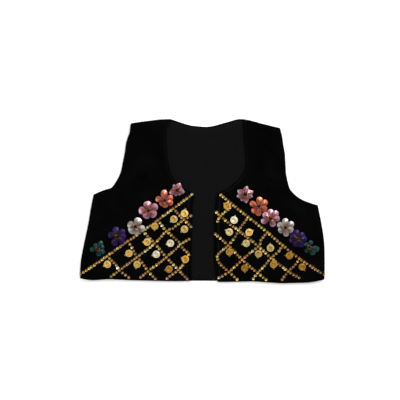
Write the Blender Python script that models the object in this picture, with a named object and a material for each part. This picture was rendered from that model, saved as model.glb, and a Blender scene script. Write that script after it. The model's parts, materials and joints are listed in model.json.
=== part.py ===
"""A child's folk vest in black velvet, open at the front and laid flat on its back.

The back lies on the ground with its lining up, and the two fronts lie on it, joined to it by rounded
folds at the side and shoulder seams. Each front carries a trellis of stitched sequin strings, a row of
six flowers and twelve coins, each coin sewn on by the tip of its loop, about which it can lift.

The frame: +X towards the wearer's left, +Y towards the neck, +Z up, and the origin on the ground under
the middle of the outline. Sizes are in millimetres, and MM turns them to Blender's metres.
"""

import math
from collections import namedtuple

import bmesh
import bpy
import numpy as np
from mathutils import Matrix, Vector
from mathutils.bvhtree import BVHTree
from mathutils.geometry import delaunay_2d_cdt

MM = 0.001

# Cloth
BACK_WALL = 1.5
LINING_WALL = 1.0
FRONT_WALL = 2.2  # velvet and its own lining
SEAM_GAP = 0.3
SEAM_HEIGHT = 3.8  # the side and shoulder seams lie halfway up the folded edge
FOLD_TOP = 7.6  # a front's height beside a fold
BODY_TOP = 6.2  # and over its middle
EDGE_TOP = 5.5  # and along its open edges
SIDE_ROLL = 9.0  # how far in from the seam the rounded fold reaches
SHOULDER_ROLL = 8.0
SIDE_EASE = 60.0  # how far in the cloth takes to settle from a fold
SHOULDER_EASE = 45.0
EDGE_EASE = 11.0
NECK_EASE = 10.0  # how far along the back neck the shoulder fold dies out
ARMHOLE_INSET = 1.0  # the back's armhole lies just under the front's
BACK_HEM_DROP = 3.1
LINING_SIDE_INSET = 10.5
LINING_INSET = 1.5  # at the back neck and the hem

# How finely the panels are divided
FOLD_ANGLES = (0, 30, 60, 90)  # round a fold, from the seam to where the wall lies flat
FRONT_COLUMNS = 9
LAST_COLUMN_INSET = 0.97  # one more column of a front, close to its open edge
SHOULDER_COLUMNS = 4
NECK_COLUMNS = 8

# What is sewn on
STRING_WIDTH = 4.8
STRING_HEIGHT = 1.0
STRING_STEP = 9.0
COIN_RADIUS = 5.7
COIN_WALL = 0.9
COIN_REACH = 8.0  # from a coin's middle to the end of its loop
COIN_PIVOT_INSET = 0.3
COIN_POINTS = 18
COIN_EASE = 1.0  # a coin rests clear of all that is this near to it
LOOP_BASE = 2.3  # half the loop's width where it leaves the coin
LOOP_END = 1.1
LOOP_HOLE = 0.6
HOLE_POINTS = 6
FLOWER_RISE = 1.5
FLOWER_RIM = 0.7  # the petals' edge, as a share of the rise
BEAD_RISE = 2.8
BEAD_CROWN = 0.4
PETAL_POINTS = 6  # from each petal to the next
PETAL_RADIUS = 5.4
POINTED_SPAN = 72  # degrees from a pointed petal's tip to where its side would reach the middle
NOTCH_SHARE = 0.55  # how far out the notches between petals reach

# Heights are read by a ray from above, at a point and in rings of PROBES points about it
ABOVE = 100.0
PROBES = 8
FINE_PROBES = 3 * PROBES
PLANE_RINGS = (0, 0.3, 0.6, 0.8, 1)
COIN_RINGS = (0.25, 0.5, 0.75, 1)

SHARP_ANGLE = 40  # edges that turn more than this many degrees stay sharp

# The vest's cross-sections from hem to shoulder, as (x, y) where each meets the wearer's right side, the
# right front's edge, the left front's edge and the left side. A side is folded (1) below the armhole.
Section = namedtuple("Section", "right_side right_edge left_edge left_side fold")
SECTIONS = (
    Section((-195, -123), (-16, -127), (24.5, -129), (195.5, -125), 1),
    Section((-195, -110), (-17, -107), (20, -107), (196, -108.5), 1),
    Section((-193.5, -92.5), (-17, -86), (19, -86), (196, -89), 1),
    Section((-189.5, -71.5), (-16.5, -63.5), (19, -65), (195.5, -70), 1),
    Section((-185.5, -52.5), (-16, -43), (19, -44.5), (193.5, -51.5), 1),
    Section((-181.5, -33), (-15, -22), (19.5, -23.5), (190.5, -34), 1),
    Section((-178, -11.5), (-14.5, -4.5), (21, -4.5), (187.5, -19), 1),
    Section((-173.5, 11), (-11.5, 9), (23, 13), (185, -6.5), 1),
    Section((-157, 18), (-22.5, 18), (32, 16.5), (169.5, -1.5), 0.35),
    Section((-145, 22), (-32.5, 23.5), (42, 21.5), (158, 3.5), 0),
    Section((-138.5, 30.5), (-40.5, 30), (50.5, 28.5), (148.5, 10.5), 0),
    Section((-132.5, 41), (-47, 39), (58, 35.5), (141, 19), 0),
    Section((-129, 51.5), (-51.5, 51), (63.5, 43.5), (137.5, 29), 0),
    Section((-126.5, 65), (-54.5, 64.5), (68, 52.5), (134.5, 44.5), 0),
    Section((-123.5, 79.5), (-56, 78), (70, 63.5), (133.5, 60.5), 0),
    Section((-122, 91), (-57, 91), (69, 77), (132.5, 75.5), 0),
    Section((-119.5, 101), (-57.5, 103.5), (68, 91), (130, 90), 0),
    Section((-116, 110), (-56.5, 117), (67, 104.5), (128, 103), 0),
    Section((-114.5, 124.5), (-50, 131.5), (65.5, 131.5), (125, 117), 0),
)
UNDERARM = 7
NECK_BASE = 13  # the shoulders' own shape starts to show above this section
LAST = len(SECTIONS) - 1

# The top line, shoulder to back neck to shoulder.
TopPoint = namedtuple("TopPoint", "x y")
TOP_LINE = (
    TopPoint(-114.5, 124.5),
    TopPoint(-99.5, 127),
    TopPoint(-83.5, 129),
    TopPoint(-67.5, 131),
    TopPoint(-50, 131.5),
    TopPoint(-35.5, 126),
    TopPoint(-19.5, 121),
    TopPoint(4.5, 118.5),
    TopPoint(16, 119.5),
    TopPoint(28.5, 123),
    TopPoint(44.5, 127.5),
    TopPoint(57.5, 131.5),
    TopPoint(65.5, 131.5),
    TopPoint(76.5, 129.5),
    TopPoint(96, 124),
    TopPoint(108.5, 121),
    TopPoint(125, 117),
)
NECK_POINTS = (-50, 65.5)

# How far each front's hem hangs below the straight line between its corners, by the share of its width.
HemPoint = namedtuple("HemPoint", "share drop")
HEM_DROP = {
    "right": (
        HemPoint(0, 0),
        HemPoint(0.1, 2.7),
        HemPoint(0.26, 0.2),
        HemPoint(0.45, 1.2),
        HemPoint(0.75, 1.6),
        HemPoint(0.9, 1.2),
        HemPoint(1, 0),
    ),
    "left": (
        HemPoint(0, 0),
        HemPoint(0.08, 2.7),
        HemPoint(0.15, 4.5),
        HemPoint(0.4, 4.7),
        HemPoint(0.55, 2.4),
        HemPoint(0.67, 0.4),
        HemPoint(0.95, 0.4),
        HemPoint(1, 0),
    ),
}

# The largest soft folds of the fronts: a ridge at (x, y), turned from +X in degrees, with its length,
# its width and its height.
Fold = namedtuple("Fold", "x y turn length width height")
FOLDS = (
    Fold(110, 39, -5, 44, 7, 1.3),
    Fold(80, 76, 84, 36, 5, 0.8),
    Fold(118, 66, 70, 40, 9, 0.9),
    Fold(160, -22, -24, 52, 10, 0.8),
    Fold(-104, 44, 12, 46, 9, 0.9),
    Fold(-78, 84, 96, 46, 8, 0.8),
    Fold(-150, -10, 28, 50, 11, 0.9),
    Fold(-120, -92, 78, 46, 14, 0.6),
    Fold(92, -62, 98, 50, 14, 0.6),
)

# The points that the sequin strings run through: A to D climb towards the shoulder, P to T fall across
# them. A knot named by two letters is where those two cross, and one with 1 or 2 is only a bend.
Knot = namedtuple("Knot", "name x y")
KNOTS = {
    "right": (
        Knot("A0", -188.5, -113), Knot("AP", -151.5, -87.5), Knot("AQ", -118.5, -63.5),
        Knot("AR", -94.5, -47.5), Knot("AS", -70.5, -30), Knot("AT", -46, -11.5), Knot("A9", -19.5, 9),
        Knot("B0", -145, -119.5), Knot("BP", -132, -110), Knot("BQ", -104, -89), Knot("BR", -75.5, -67),
        Knot("BS", -57, -47.5), Knot("BT", -29, -29), Knot("B9", -19.5, -23.5),
        Knot("C0", -98, -121), Knot("CQ", -86, -111.5), Knot("CR", -57, -89), Knot("CS", -34, -68.5),
        Knot("C9", -21, -60.5), Knot("D0", -56, -123), Knot("DR", -38, -109), Knot("DS", -21.5, -85),
        Knot("P9", -117, -121), Knot("Q9", -74.5, -123.5), Knot("R9", -24, -123.5), Knot("T9", -20, -39),
        Knot("B1", -46.6, -42.8), Knot("D1", -29.8, -100), Knot("D2", -30.2, -75.4),
        Knot("P1", -138.5, -99.8), Knot("Q1", -112.8, -72.2), Knot("Q2", -97.8, -94.8),
        Knot("R1", -85.8, -57.2), Knot("S1", -45, -57.2),
    ),
    "left": (
        Knot("A0", 189.5, -113.5), Knot("AP", 155, -91), Knot("AQ", 128.5, -70), Knot("AR", 104, -49),
        Knot("AS", 73.5, -25), Knot("AT", 49.5, -6), Knot("A9", 30, 10),
        Knot("B0", 155, -122), Knot("BP", 137.5, -111.5), Knot("BQ", 110, -90), Knot("BR", 89.5, -71.5),
        Knot("BS", 58, -46), Knot("BT", 29.5, -23.5), Knot("B9", 24, -18.5),
        Knot("C0", 102, -125), Knot("CQ", 88.5, -114), Knot("CR", 64, -93), Knot("CS", 41.5, -70),
        Knot("C9", 23.5, -53.5), Knot("D0", 56, -124.5), Knot("DR", 43, -112.5), Knot("DS", 24, -87.5),
        Knot("P9", 128, -124.5), Knot("Q9", 81.5, -123.5), Knot("R9", 27, -122), Knot("T9", 24.5, -31.5),
        Knot("B1", 46, -37.6), Knot("D1", 28, -98.6), Knot("D2", 30.5, -80.3),
        Knot("P1", 148.5, -101.3), Knot("Q1", 122.8, -79.2), Knot("Q2", 97.5, -105.2),
        Knot("R1", 95, -60.5), Knot("S1", 52.8, -56.6),
    ),
}
STRINGS = (
    ("A0", "AP", "AQ", "AR", "AS", "AT", "A9"),
    ("B0", "BP", "BQ", "BR", "BS", "B1", "BT", "B9"),
    ("C0", "CQ", "CR", "CS", "C9"),
    ("D0", "DR", "D1", "DS", "D2", "CS", "S1", "BS", "AS"),
    ("AP", "P1", "BP", "P9"),
    ("AQ", "Q1", "BQ", "Q2", "CQ", "Q9"),
    ("AR", "R1", "BR", "CR", "DR", "R9"),
    ("AT", "BT", "T9"),
)

# Coins by the middle of each, with the direction of its loop in degrees from +X.
Coin = namedtuple("Coin", "x y turn")
COINS = {
    "right": (
        Coin(-151, -100.5, 205), Coin(-116.5, -83, 208), Coin(-103.5, -100.5, 250), Coin(-87.5, -65, 180),
        Coin(-75.5, -39.5, 267), Coin(-45, -28.5, 215), Coin(-28, -19.5, 80), Coin(-28, -44.5, 221),
        Coin(-50.5, -67, 195), Coin(-73, -84.5, 197), Coin(-26.5, -92.5, 160), Coin(-52.6, -108.3, 193),
    ),
    "left": (
        Coin(40.5, -7.5, 146), Coin(51, -30, 76), Coin(43.5, -49, 154), Coin(75, -49.5, 25),
        Coin(70.5, -67, 195), Coin(90, -83.5, 257), Coin(109, -74.5, 93), Coin(43.5, -80.5, 272),
        Coin(68, -106.5, 269), Coin(114, -100.5, 270), Coin(139.5, -86.5, 180), Coin(159.5, -104.5, 302),
    ),
}

# Flowers: the middle, the width over the petals, whether the petals are pointed, and each petal's
# direction in degrees from +X with its reach from the middle.
Petal = namedtuple("Petal", "turn reach")
Flower = namedtuple("Flower", "colour x y width pointed petals")
FLOWERS = {
    "right": (
        Flower("teal", -166.5, -76.5, 26, False, (
            Petal(28, 11.5), Petal(63, 15), Petal(118, 10.5), Petal(183, 12.5),
            Petal(280, 11.5), Petal(332, 12.5),
        )),
        Flower("purple", -136, -56.5, 31, False, (
            Petal(2, 15.5), Petal(41, 17), Petal(98, 16.5), Petal(163, 14.5),
            Petal(250, 15.5), Petal(318, 16.5),
        )),
        Flower("white", -106, -41, 29, False, (
            Petal(68, 16), Petal(155, 14), Petal(221, 13.5), Petal(276, 12.7),
            Petal(345, 15.5),
        )),
        Flower("mauve", -85.5, -15, 32, False, (
            Petal(31, 18), Petal(100, 15.6), Petal(178, 16), Petal(247, 13.7),
            Petal(324, 14.8),
        )),
        Flower("coral", -60.5, 1, 29, False, (
            Petal(25, 15.5), Petal(90, 17.5), Petal(165, 14.5), Petal(228, 10),
            Petal(282, 11.5), Petal(340, 15),
        )),
        Flower("pink", -40, 17.5, 25, True, (
            Petal(68, 12.8), Petal(123, 11), Petal(200, 13.5), Petal(254, 10),
            Petal(302, 9.5), Petal(345, 12.8),
        )),
    ),
    "left": (
        Flower("pink", 68.5, 10.5, 28, True, (
            Petal(22, 14.5), Petal(78, 14.5), Petal(150, 14.5), Petal(192, 14),
            Petal(236, 12), Petal(279, 14), Petal(345, 13),
        )),
        Flower("orange", 90.5, -8.5, 31, False, (
            Petal(32, 16.7), Petal(84, 16), Petal(155, 16), Petal(220, 14.5),
            Petal(266, 15.3), Petal(338, 14.4),
        )),
        Flower("mauve", 109, -28, 31, False, (
            Petal(2, 15.3), Petal(45, 17), Petal(90, 16), Petal(141, 17),
            Petal(199, 16.2), Petal(295, 14),
        )),
        Flower("white", 133, -42, 28, False, (
            Petal(31, 15.6), Petal(92, 15.3), Petal(154, 15.5), Petal(210, 13.2),
            Petal(275, 14.7), Petal(337, 13.7),
        )),
        Flower("purple", 152, -60.5, 30, False, (
            Petal(2, 15.5), Petal(42, 14.6), Petal(96, 15.5), Petal(142, 13.8),
            Petal(187, 13.3), Petal(252, 12.7), Petal(304, 16),
        )),
        Flower("teal", 171, -73.5, 25, False, (
            Petal(74, 11.5), Petal(138, 10), Petal(231, 10), Petal(303, 14.3),
            Petal(347, 16.5),
        )),
    ),
}

# Colours as linear red, green and blue, with roughness and metallic value.
Finish = namedtuple("Finish", "red green blue roughness metallic")
FINISHES = {
    "velvet": Finish(0.004, 0.004, 0.0045, 0.9, 0),
    "lining": Finish(0.012, 0.012, 0.013, 0.8, 0),
    "sequins": Finish(0.62, 0.4, 0.12, 0.3, 1),
    "coin": Finish(0.75, 0.52, 0.16, 0.28, 1),
    "teal": Finish(0.02, 0.14, 0.12, 0.35, 0),
    "purple": Finish(0.06, 0.025, 0.16, 0.35, 0),
    "white": Finish(0.62, 0.6, 0.58, 0.3, 0),
    "mauve": Finish(0.4, 0.2, 0.32, 0.3, 0),
    "coral": Finish(0.55, 0.13, 0.07, 0.3, 0),
    "orange": Finish(0.62, 0.22, 0.06, 0.3, 0),
    "pink": Finish(0.62, 0.32, 0.42, 0.3, 0),
}


def material(name):
    """The finish of that name, made once."""
    if name in bpy.data.materials:
        return bpy.data.materials[name]
    finish = FINISHES[name]
    made = bpy.data.materials.new(name)
    made.use_nodes = True
    shader = made.node_tree.nodes["Principled BSDF"]
    shader.inputs["Base Color"].default_value = (finish.red, finish.green, finish.blue, 1)
    shader.inputs["Roughness"].default_value = finish.roughness
    shader.inputs["Metallic"].default_value = finish.metallic
    made.diffuse_color = (finish.red, finish.green, finish.blue, 1)
    return made


def closed_mesh(name, points, faces, finish):
    """A mesh of triangles facing outwards, from points in millimetres."""
    shape = bmesh.new()
    corners = [shape.verts.new(Vector(point) * MM) for point in points]
    for face in faces:
        shape.faces.new([corners[i] for i in face])
    bmesh.ops.triangulate(shape, faces=shape.faces[:])
    bmesh.ops.recalc_face_normals(shape, faces=shape.faces[:])
    mesh = bpy.data.meshes.new(name)
    shape.to_mesh(mesh)
    shape.free()
    mesh.shade_smooth()
    mesh.set_sharp_from_angle(angle=math.radians(SHARP_ANGLE))
    mesh.materials.append(material(finish))
    return mesh


def placed(name, mesh, location=(0, 0, 0), turned=None):
    """An object of the mesh, at a place in millimetres."""
    made = bpy.data.objects.new(name, mesh)
    made.location = Vector(location) * MM
    if turned:
        made.rotation_euler = turned.to_euler()
    bpy.context.scene.collection.objects.link(made)
    return made


def clear_scene():
    """Removes every object of the scene that is open."""
    for thing in list(bpy.data.objects):
        bpy.data.objects.remove(thing, do_unlink=True)


# Curves and easing


def fade(distance, reach):
    """1 at no distance, falling softly to nothing beyond the reach."""
    return math.exp(-((distance / reach) ** 2))


def smooth_step(share):
    """0 to 1 along a share, level at both ends."""
    share = min(max(share, 0), 1)
    return share * share * (3 - 2 * share)


def mixed(first, second, share):
    """The value or the point that lies a share of the way from the first to the second."""
    return first + (second - first) * share


def read_table(pairs, at):
    """The value at a place in a table of (place, value) rows, by straight lines."""
    for (low, first), (high, second) in zip(pairs, pairs[1:]):
        if at <= high:
            return mixed(first, second, max((at - low) / (high - low), 0))
    return pairs[-1][1]


def along(points, place):
    """A smooth curve through the sections' points, with a corner at the underarm."""
    first, last = (0, UNDERARM) if place <= UNDERARM else (UNDERARM, LAST)
    i = min(int(place), last - 1)
    here, after = Vector(points[i]), Vector(points[i + 1])
    before = Vector(points[i - 1]) if i > first else here * 2 - after
    beyond = Vector(points[i + 2]) if i + 2 <= last else after * 2 - here
    s = place - i
    return 0.5 * (
        here * 2
        + (after - before) * s
        + (before * 2 - here * 5 + after * 4 - beyond) * s**2
        + (here * 3 - before - after * 3 + beyond) * s**3
    )


# The panels. A row is a section's place from hem to shoulder, or, in the shoulder fold, the distance
# that is left to the shoulder seam.

Row = namedtuple("Row", "place left_over")
FREE_ROWS = [Row(place, None) for place in range(UNDERARM)]
FREE_ROWS += [Row(UNDERARM + half / 2, None) for half in range(2 * (LAST - 1 - UNDERARM) + 1)]
FOLD_ROWS = [Row(LAST, SHOULDER_ROLL * (1 - math.cos(math.radians(a)))) for a in reversed(FOLD_ANGLES)]


def row_end(column, row):
    """Where a row meets one of the four edges of the sections."""
    points = [getattr(section, column) for section in SECTIONS]
    if row.left_over is None:
        return along(points, row.place)
    seam, below = along(points, LAST), along(points, LAST - 1)
    return seam + (below - seam).normalized() * row.left_over


def side_fold(row):
    """How far the side is folded on this row: 1 below the armhole, 0 in it."""
    i = min(int(row.place), LAST - 1)
    return mixed(SECTIONS[i].fold, SECTIONS[i + 1].fold, row.place - i)


def roll_angle(distance, reach):
    """The turn of a rounded fold: 0 where its wall stands upright at the seam, a right angle once flat."""
    return math.acos(1 - min(distance / reach, 1))


def top_shift(row, low, high, share):
    """How much higher the shaped top line is than a straight one, easing out down the panel."""
    line = mixed(low, high, share)
    shaped = read_table(TOP_LINE, line.x) - line.y
    if row.left_over is not None:
        return shaped
    return shaped * smooth_step((row.place - NECK_BASE) / (LAST - NECK_BASE))


def seam_ends(first, second):
    """The two ends of the shoulder seams' line, on two of the sections' edges."""
    return row_end(first, Row(LAST, 0)), row_end(second, Row(LAST, 0))


def folds_height(x, y):
    """The ridges of the fronts' soft folds at a point."""
    total = 0
    for fold in FOLDS:
        turn = math.radians(fold.turn)
        away = Vector((x - fold.x, y - fold.y))
        lengthwise = away.x * math.cos(turn) + away.y * math.sin(turn)
        across = away.y * math.cos(turn) - away.x * math.sin(turn)
        total += fold.height * fade(lengthwise, fold.length / 2) * fade(across, fold.width)
    return total


def wall_points(flat, height, normal, wall):
    """A point of the outer face and the one behind it, a wall's thickness inwards."""
    outer = Vector((flat.x, flat.y, height))
    return outer, outer - normal.normalized() * wall


def front_point(side, row, share, distance=None):
    """A front's outer and inner point on a row, at a share of its width or a distance from its side."""
    outer_end, inner_end = row_end(f"{side}_side", row), row_end(f"{side}_edge", row)
    width = (inner_end - outer_end).length
    from_side = distance if distance is not None else mixed(SIDE_ROLL, width, share)
    share = from_side / width
    flat = mixed(outer_end, inner_end, share)
    seam = seam_ends(f"{side}_side", f"{side}_edge")
    flat.y += top_shift(row, *seam, share)
    if row.left_over is None and row.place < 1:
        flat.y -= read_table(HEM_DROP[side], share) * (1 - row.place)
    from_hem = flat.y - SECTIONS[0].right_edge[1]
    from_shoulder = (mixed(*seam, share) - mixed(outer_end, inner_end, share)).length
    fold = side_fold(row)

    settled = max(fold * fade(from_side, SIDE_EASE), fade(from_shoulder, SHOULDER_EASE))
    edge = max(
        (1 - fold) * fade(from_side, EDGE_EASE),
        fade(width - from_side, EDGE_EASE),
        fade(from_hem, EDGE_EASE),
    )
    top = mixed(BODY_TOP, FOLD_TOP, settled) - (BODY_TOP - EDGE_TOP) * edge * (1 - settled)
    top += folds_height(flat.x, flat.y) * (1 - edge) * (1 - settled**2)

    side_turn = math.pi / 2 - fold * (math.pi / 2 - roll_angle(from_side, SIDE_ROLL))
    shoulder_turn = roll_angle(from_shoulder, SHOULDER_ROLL)
    upright = math.sin(side_turn) * math.sin(shoulder_turn)
    shown = 1 - fold * (1 - math.sin(roll_angle(from_side, SIDE_ROLL)))
    height = mixed(SEAM_HEIGHT + SEAM_GAP / 2, top, shown * math.sin(shoulder_turn))
    outwards = (outer_end - inner_end).normalized() * math.cos(side_turn)
    normal = Vector((outwards.x, outwards.y + math.cos(shoulder_turn), upright))
    return wall_points(flat, height, normal, FRONT_WALL)


def back_point(row, share, from_right=None, from_left=None):
    """The back's outer (lower) and inner point on a row, by a share of its width or from one side."""
    right_end, left_end = row_end("right_side", row), row_end("left_side", row)
    width = (left_end - right_end).length
    fold = side_fold(row)
    inset = ARMHOLE_INSET * (1 - fold)
    if from_right is not None:
        share = max(from_right, inset) / width
    elif from_left is not None:
        share = 1 - max(from_left, inset) / width
    else:
        share = mixed(SIDE_ROLL, width - SIDE_ROLL, share) / width
    flat = mixed(right_end, left_end, share)
    seam = seam_ends("right_side", "left_side")
    flat.y += top_shift(row, *seam, share)
    if row.left_over is None and row.place < 1:
        flat.y -= BACK_HEM_DROP * math.sin(math.pi * share) ** 2 * (1 - row.place)

    from_side = min(share, 1 - share) * width
    past_neck_point = min(flat.x - NECK_POINTS[0], NECK_POINTS[1] - flat.x)
    shoulder_fold = 1 - smooth_step(past_neck_point / NECK_EASE)
    from_shoulder = (mixed(*seam, share) - mixed(right_end, left_end, share)).length
    side_roll = roll_angle(from_side, SIDE_ROLL)
    shoulder_roll = roll_angle(from_shoulder, SHOULDER_ROLL)
    side_turn = math.pi / 2 - fold * (math.pi / 2 - side_roll)
    shoulder_turn = math.pi / 2 - shoulder_fold * (math.pi / 2 - shoulder_roll)
    flatness = (1 - fold * (1 - math.sin(side_roll))) * (1 - shoulder_fold * (1 - math.sin(shoulder_roll)))
    height = mixed(SEAM_HEIGHT - SEAM_GAP / 2, 0, flatness)
    outwards = math.cos(side_turn) * (-1 if share < 0.5 else 1)
    upright = -math.sin(side_turn) * math.sin(shoulder_turn)
    return wall_points(flat, height, Vector((outwards, math.cos(shoulder_turn), upright)), BACK_WALL)


def cloth_wall(name, rows, finish):
    """A wall of cloth from rows of (outer, inner) points."""
    down, across = len(rows), len(rows[0])
    points = [pair[0] for row in rows for pair in row] + [pair[1] for row in rows for pair in row]
    inner = down * across
    faces = []
    for r in range(down - 1):
        for c in range(across - 1):
            here, above = r * across + c, (r + 1) * across + c
            corners = [here, here + 1, above + 1, above]
            faces.append(corners)
            faces.append([inner + i for i in reversed(corners)])
    rim = list(range(across)) + [r * across + across - 1 for r in range(1, down)]
    rim += [(down - 1) * across + c for c in reversed(range(across - 1))]
    rim += [r * across for r in reversed(range(1, down - 1))]
    for here, after in zip(rim, rim[1:] + rim[:1]):
        faces.append([here, inner + here, inner + after, after])
    return placed(name, closed_mesh(name, points, faces, finish))


def fold_distances(reach):
    """How far from the seam each line of points along a rounded fold lies."""
    return [reach * (1 - math.cos(math.radians(angle))) for angle in FOLD_ANGLES]


def front(side):
    """A front, from the side fold to its open edge and from the hem to the shoulder fold."""
    shares = [i / FRONT_COLUMNS for i in range(1, FRONT_COLUMNS)] + [LAST_COLUMN_INSET, 1]
    rows = []
    for row in FREE_ROWS + FOLD_ROWS:
        line = [front_point(side, row, 0, distance) for distance in fold_distances(SIDE_ROLL)]
        rows.append(line + [front_point(side, row, share) for share in shares])
    return cloth_wall(f"front_{side}", rows, "velvet")


def back_shares():
    """Columns across the back, with one at each neck point."""
    right, left = seam_ends("right_side", "left_side")
    length = (left - right).length
    ends = [0]
    for x in NECK_POINTS:
        from_right = (x - right.x) / (left.x - right.x) * length
        ends.append((from_right - SIDE_ROLL) / (length - 2 * SIDE_ROLL))
    ends.append(1)
    counts = (SHOULDER_COLUMNS, NECK_COLUMNS, SHOULDER_COLUMNS)
    shares = [mixed(low, high, i / n) for low, high, n in zip(ends, ends[1:], counts) for i in range(n)]
    return shares[1:]


def back():
    """The back, whose sides and shoulders curl up to meet the fronts."""
    distances = fold_distances(SIDE_ROLL)
    rows = []
    for row in FREE_ROWS + FOLD_ROWS:
        line = [back_point(row, 0, from_right=distance) for distance in distances]
        line += [back_point(row, share) for share in back_shares()]
        rows.append(line + [back_point(row, 0, from_left=distance) for distance in reversed(distances)])
    return cloth_wall("back", rows, "velvet")


def back_lining():
    """The lining lies on the back's inner face, from just inside the hem to just inside the neck."""
    hem = Row(LINING_INSET / (SECTIONS[1].right_edge[1] - SECTIONS[0].right_edge[1]), None)
    spots = [dict(share=0, from_right=LINING_SIDE_INSET)]
    spots += [dict(share=share) for share in back_shares()]
    spots.append(dict(share=0, from_left=LINING_SIDE_INSET))
    rows = []
    for row in [hem] + FREE_ROWS[1::2] + [FREE_ROWS[-1]]:
        rows.append([back_point(row, **spot) for spot in spots])
    last = []
    for spot in spots:
        outer, _ = back_point(Row(LAST, 0), **spot)
        at_neck = NECK_POINTS[0] <= outer.x <= NECK_POINTS[1]
        last.append(back_point(Row(LAST, LINING_INSET if at_neck else SHOULDER_ROLL), **spot))
    rows.append(last)
    layers = [[raised(pair, SEAM_GAP, LINING_WALL) for pair in row] for row in rows]
    return cloth_wall("back_lining", layers, "lining")


def raised(pair, gap, wall):
    """A layer on the inner point of a wall, a gap away from it."""
    away = (pair[1] - pair[0]).normalized()
    return pair[1] + away * (gap + wall), pair[1] + away * gap


# What is sewn on the fronts


def surface_of(things):
    """The top surface of some objects, for reading heights in millimetres."""
    points, faces = [], []
    for thing in things:
        faces += [[len(points) + i for i in face.vertices] for face in thing.data.polygons]
        points += [vertex.co / MM for vertex in thing.data.vertices]
    return BVHTree.FromPolygons(points, faces)


def height_at(surface, x, y, reach=0):
    """The surface's height at a point, or its greatest within a reach, and None beyond its edge."""
    spots = [(x, y)]
    for part in (reach / 2, reach) if reach else ():
        for i in range(PROBES):
            turn = 2 * math.pi * i / PROBES
            spots.append((x + part * math.cos(turn), y + part * math.sin(turn)))
    hits = [surface.ray_cast((a, b, ABOVE), (0, 0, -1))[0] for a, b in spots]
    return max((hit.z for hit in hits if hit), default=None)


def resting_plane(surface, x, y, radius):
    """The height of a flat thing resting about (x, y), as a function of the way from there."""
    rows, heights = [], []
    for ring in PLANE_RINGS:
        for i in range(FINE_PROBES):
            turn = 2 * math.pi * i / FINE_PROBES
            right, up = ring * radius * math.cos(turn), ring * radius * math.sin(turn)
            height = height_at(surface, x + right, y + up)
            if height is not None:
                rows.append((right, up, 1))
                heights.append(height)
    rows, heights = np.array(rows), np.array(heights)
    plane = np.linalg.lstsq(rows, heights, rcond=None)[0]
    lift = float((heights - rows @ plane).max()) + SEAM_GAP
    to_right, to_up, middle = (float(value) for value in plane)
    return lambda right, up: to_right * right + to_up * up + middle + lift


def filled(outlines, holes=()):
    """The union of flat outlines less the holes, as points and triangles."""
    points, faces = [], []
    for outline in list(outlines) + list(holes):
        faces.append(list(range(len(points), len(points) + len(outline))))
        points += [Vector(point) for point in outline]
    points, _, triangles, _, _, owners = delaunay_2d_cdt(points, [], faces, 0, 1e-4, True)
    cut = set(range(len(outlines), len(faces)))
    return points, [t for t, owner in zip(triangles, owners) if owner and not set(owner) & cut]


def slab(points, triangles, heights):
    """Solid points and faces from a flat shape, with (lower, upper) heights for each of its points."""
    used = sorted({i for triangle in triangles for i in triangle})
    place = {i: n for n, i in enumerate(used)}
    count = len(used)
    solid = [(points[i].x, points[i].y, heights[i][0]) for i in used]
    solid += [(points[i].x, points[i].y, heights[i][1]) for i in used]
    edges = [(t[i], t[(i + 1) % 3]) for t in triangles for i in range(3)]
    faces = [[place[i] for i in reversed(t)] for t in triangles]
    faces += [[place[i] + count for i in t] for t in triangles]
    for here, after in edges:
        if (after, here) not in edges:
            a, b = place[here], place[after]
            faces.append([a, b, b + count, a + count])
    return solid, faces


def string_outline(route):
    """The outline of one flat string along its route, split into short lengths so that it drapes."""
    spots = [route[0]]
    for start, end in zip(route, route[1:]):
        steps = max(round((end - start).length / STRING_STEP), 1)
        spots += [mixed(start, end, (i + 1) / steps) for i in range(steps)]
    left, right = [], []
    for i, spot in enumerate(spots):
        after = (spots[min(i + 1, len(spots) - 1)] - spots[min(i, len(spots) - 2)]).normalized()
        before = (spots[max(i, 1)] - spots[max(i - 1, 0)]).normalized()
        middle = (before + after).normalized()
        across = Vector((-middle.y, middle.x)) * (STRING_WIDTH / 2 / middle.dot(after))
        left.append(spot + across)
        right.append(spot - across)
    return right + left[::-1]


def trellis(side, cloth):
    """All the sequin strings of one front, joined where they cross."""
    knots = {knot.name: Vector((knot.x, knot.y)) for knot in KNOTS[side]}
    points, triangles = filled([string_outline([knots[name] for name in names]) for names in STRINGS])
    heights = {}
    for i in {i for triangle in triangles for i in triangle}:
        base = height_at(cloth, points[i].x, points[i].y, STRING_WIDTH / 2) + SEAM_GAP
        heights[i] = (base, base + STRING_HEIGHT)
    name = f"trellis_{side}"
    return placed(name, closed_mesh(name, *slab(points, triangles, heights), "sequins"))


def coin_mesh():
    """A coin with a pointed, pierced loop. It lies along +X from its pivot, at the loop's end."""
    middle = COIN_REACH - COIN_PIVOT_INSET
    opening = math.pi - math.asin(LOOP_BASE / COIN_RADIUS)
    outline = []
    for i in range(COIN_POINTS):
        turn = mixed(-opening, opening, i / (COIN_POINTS - 1))
        outline.append((middle + COIN_RADIUS * math.cos(turn), COIN_RADIUS * math.sin(turn)))
    tip = -COIN_PIVOT_INSET
    outline += [(tip + LOOP_END, LOOP_END), (tip, LOOP_END / 2)]
    outline += [(tip, -LOOP_END / 2), (tip + LOOP_END, -LOOP_END)]
    hole = []
    for i in range(HOLE_POINTS):
        turn = 2 * math.pi * i / HOLE_POINTS
        hole.append((tip + LOOP_END + LOOP_HOLE * (1 + math.cos(turn)), LOOP_HOLE * math.sin(turn)))
    points, triangles = filled([outline], [hole])
    heights = [(-COIN_WALL / 2, COIN_WALL / 2)] * len(points)
    return closed_mesh("coin", *slab(points, triangles, heights), "coin")


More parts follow.
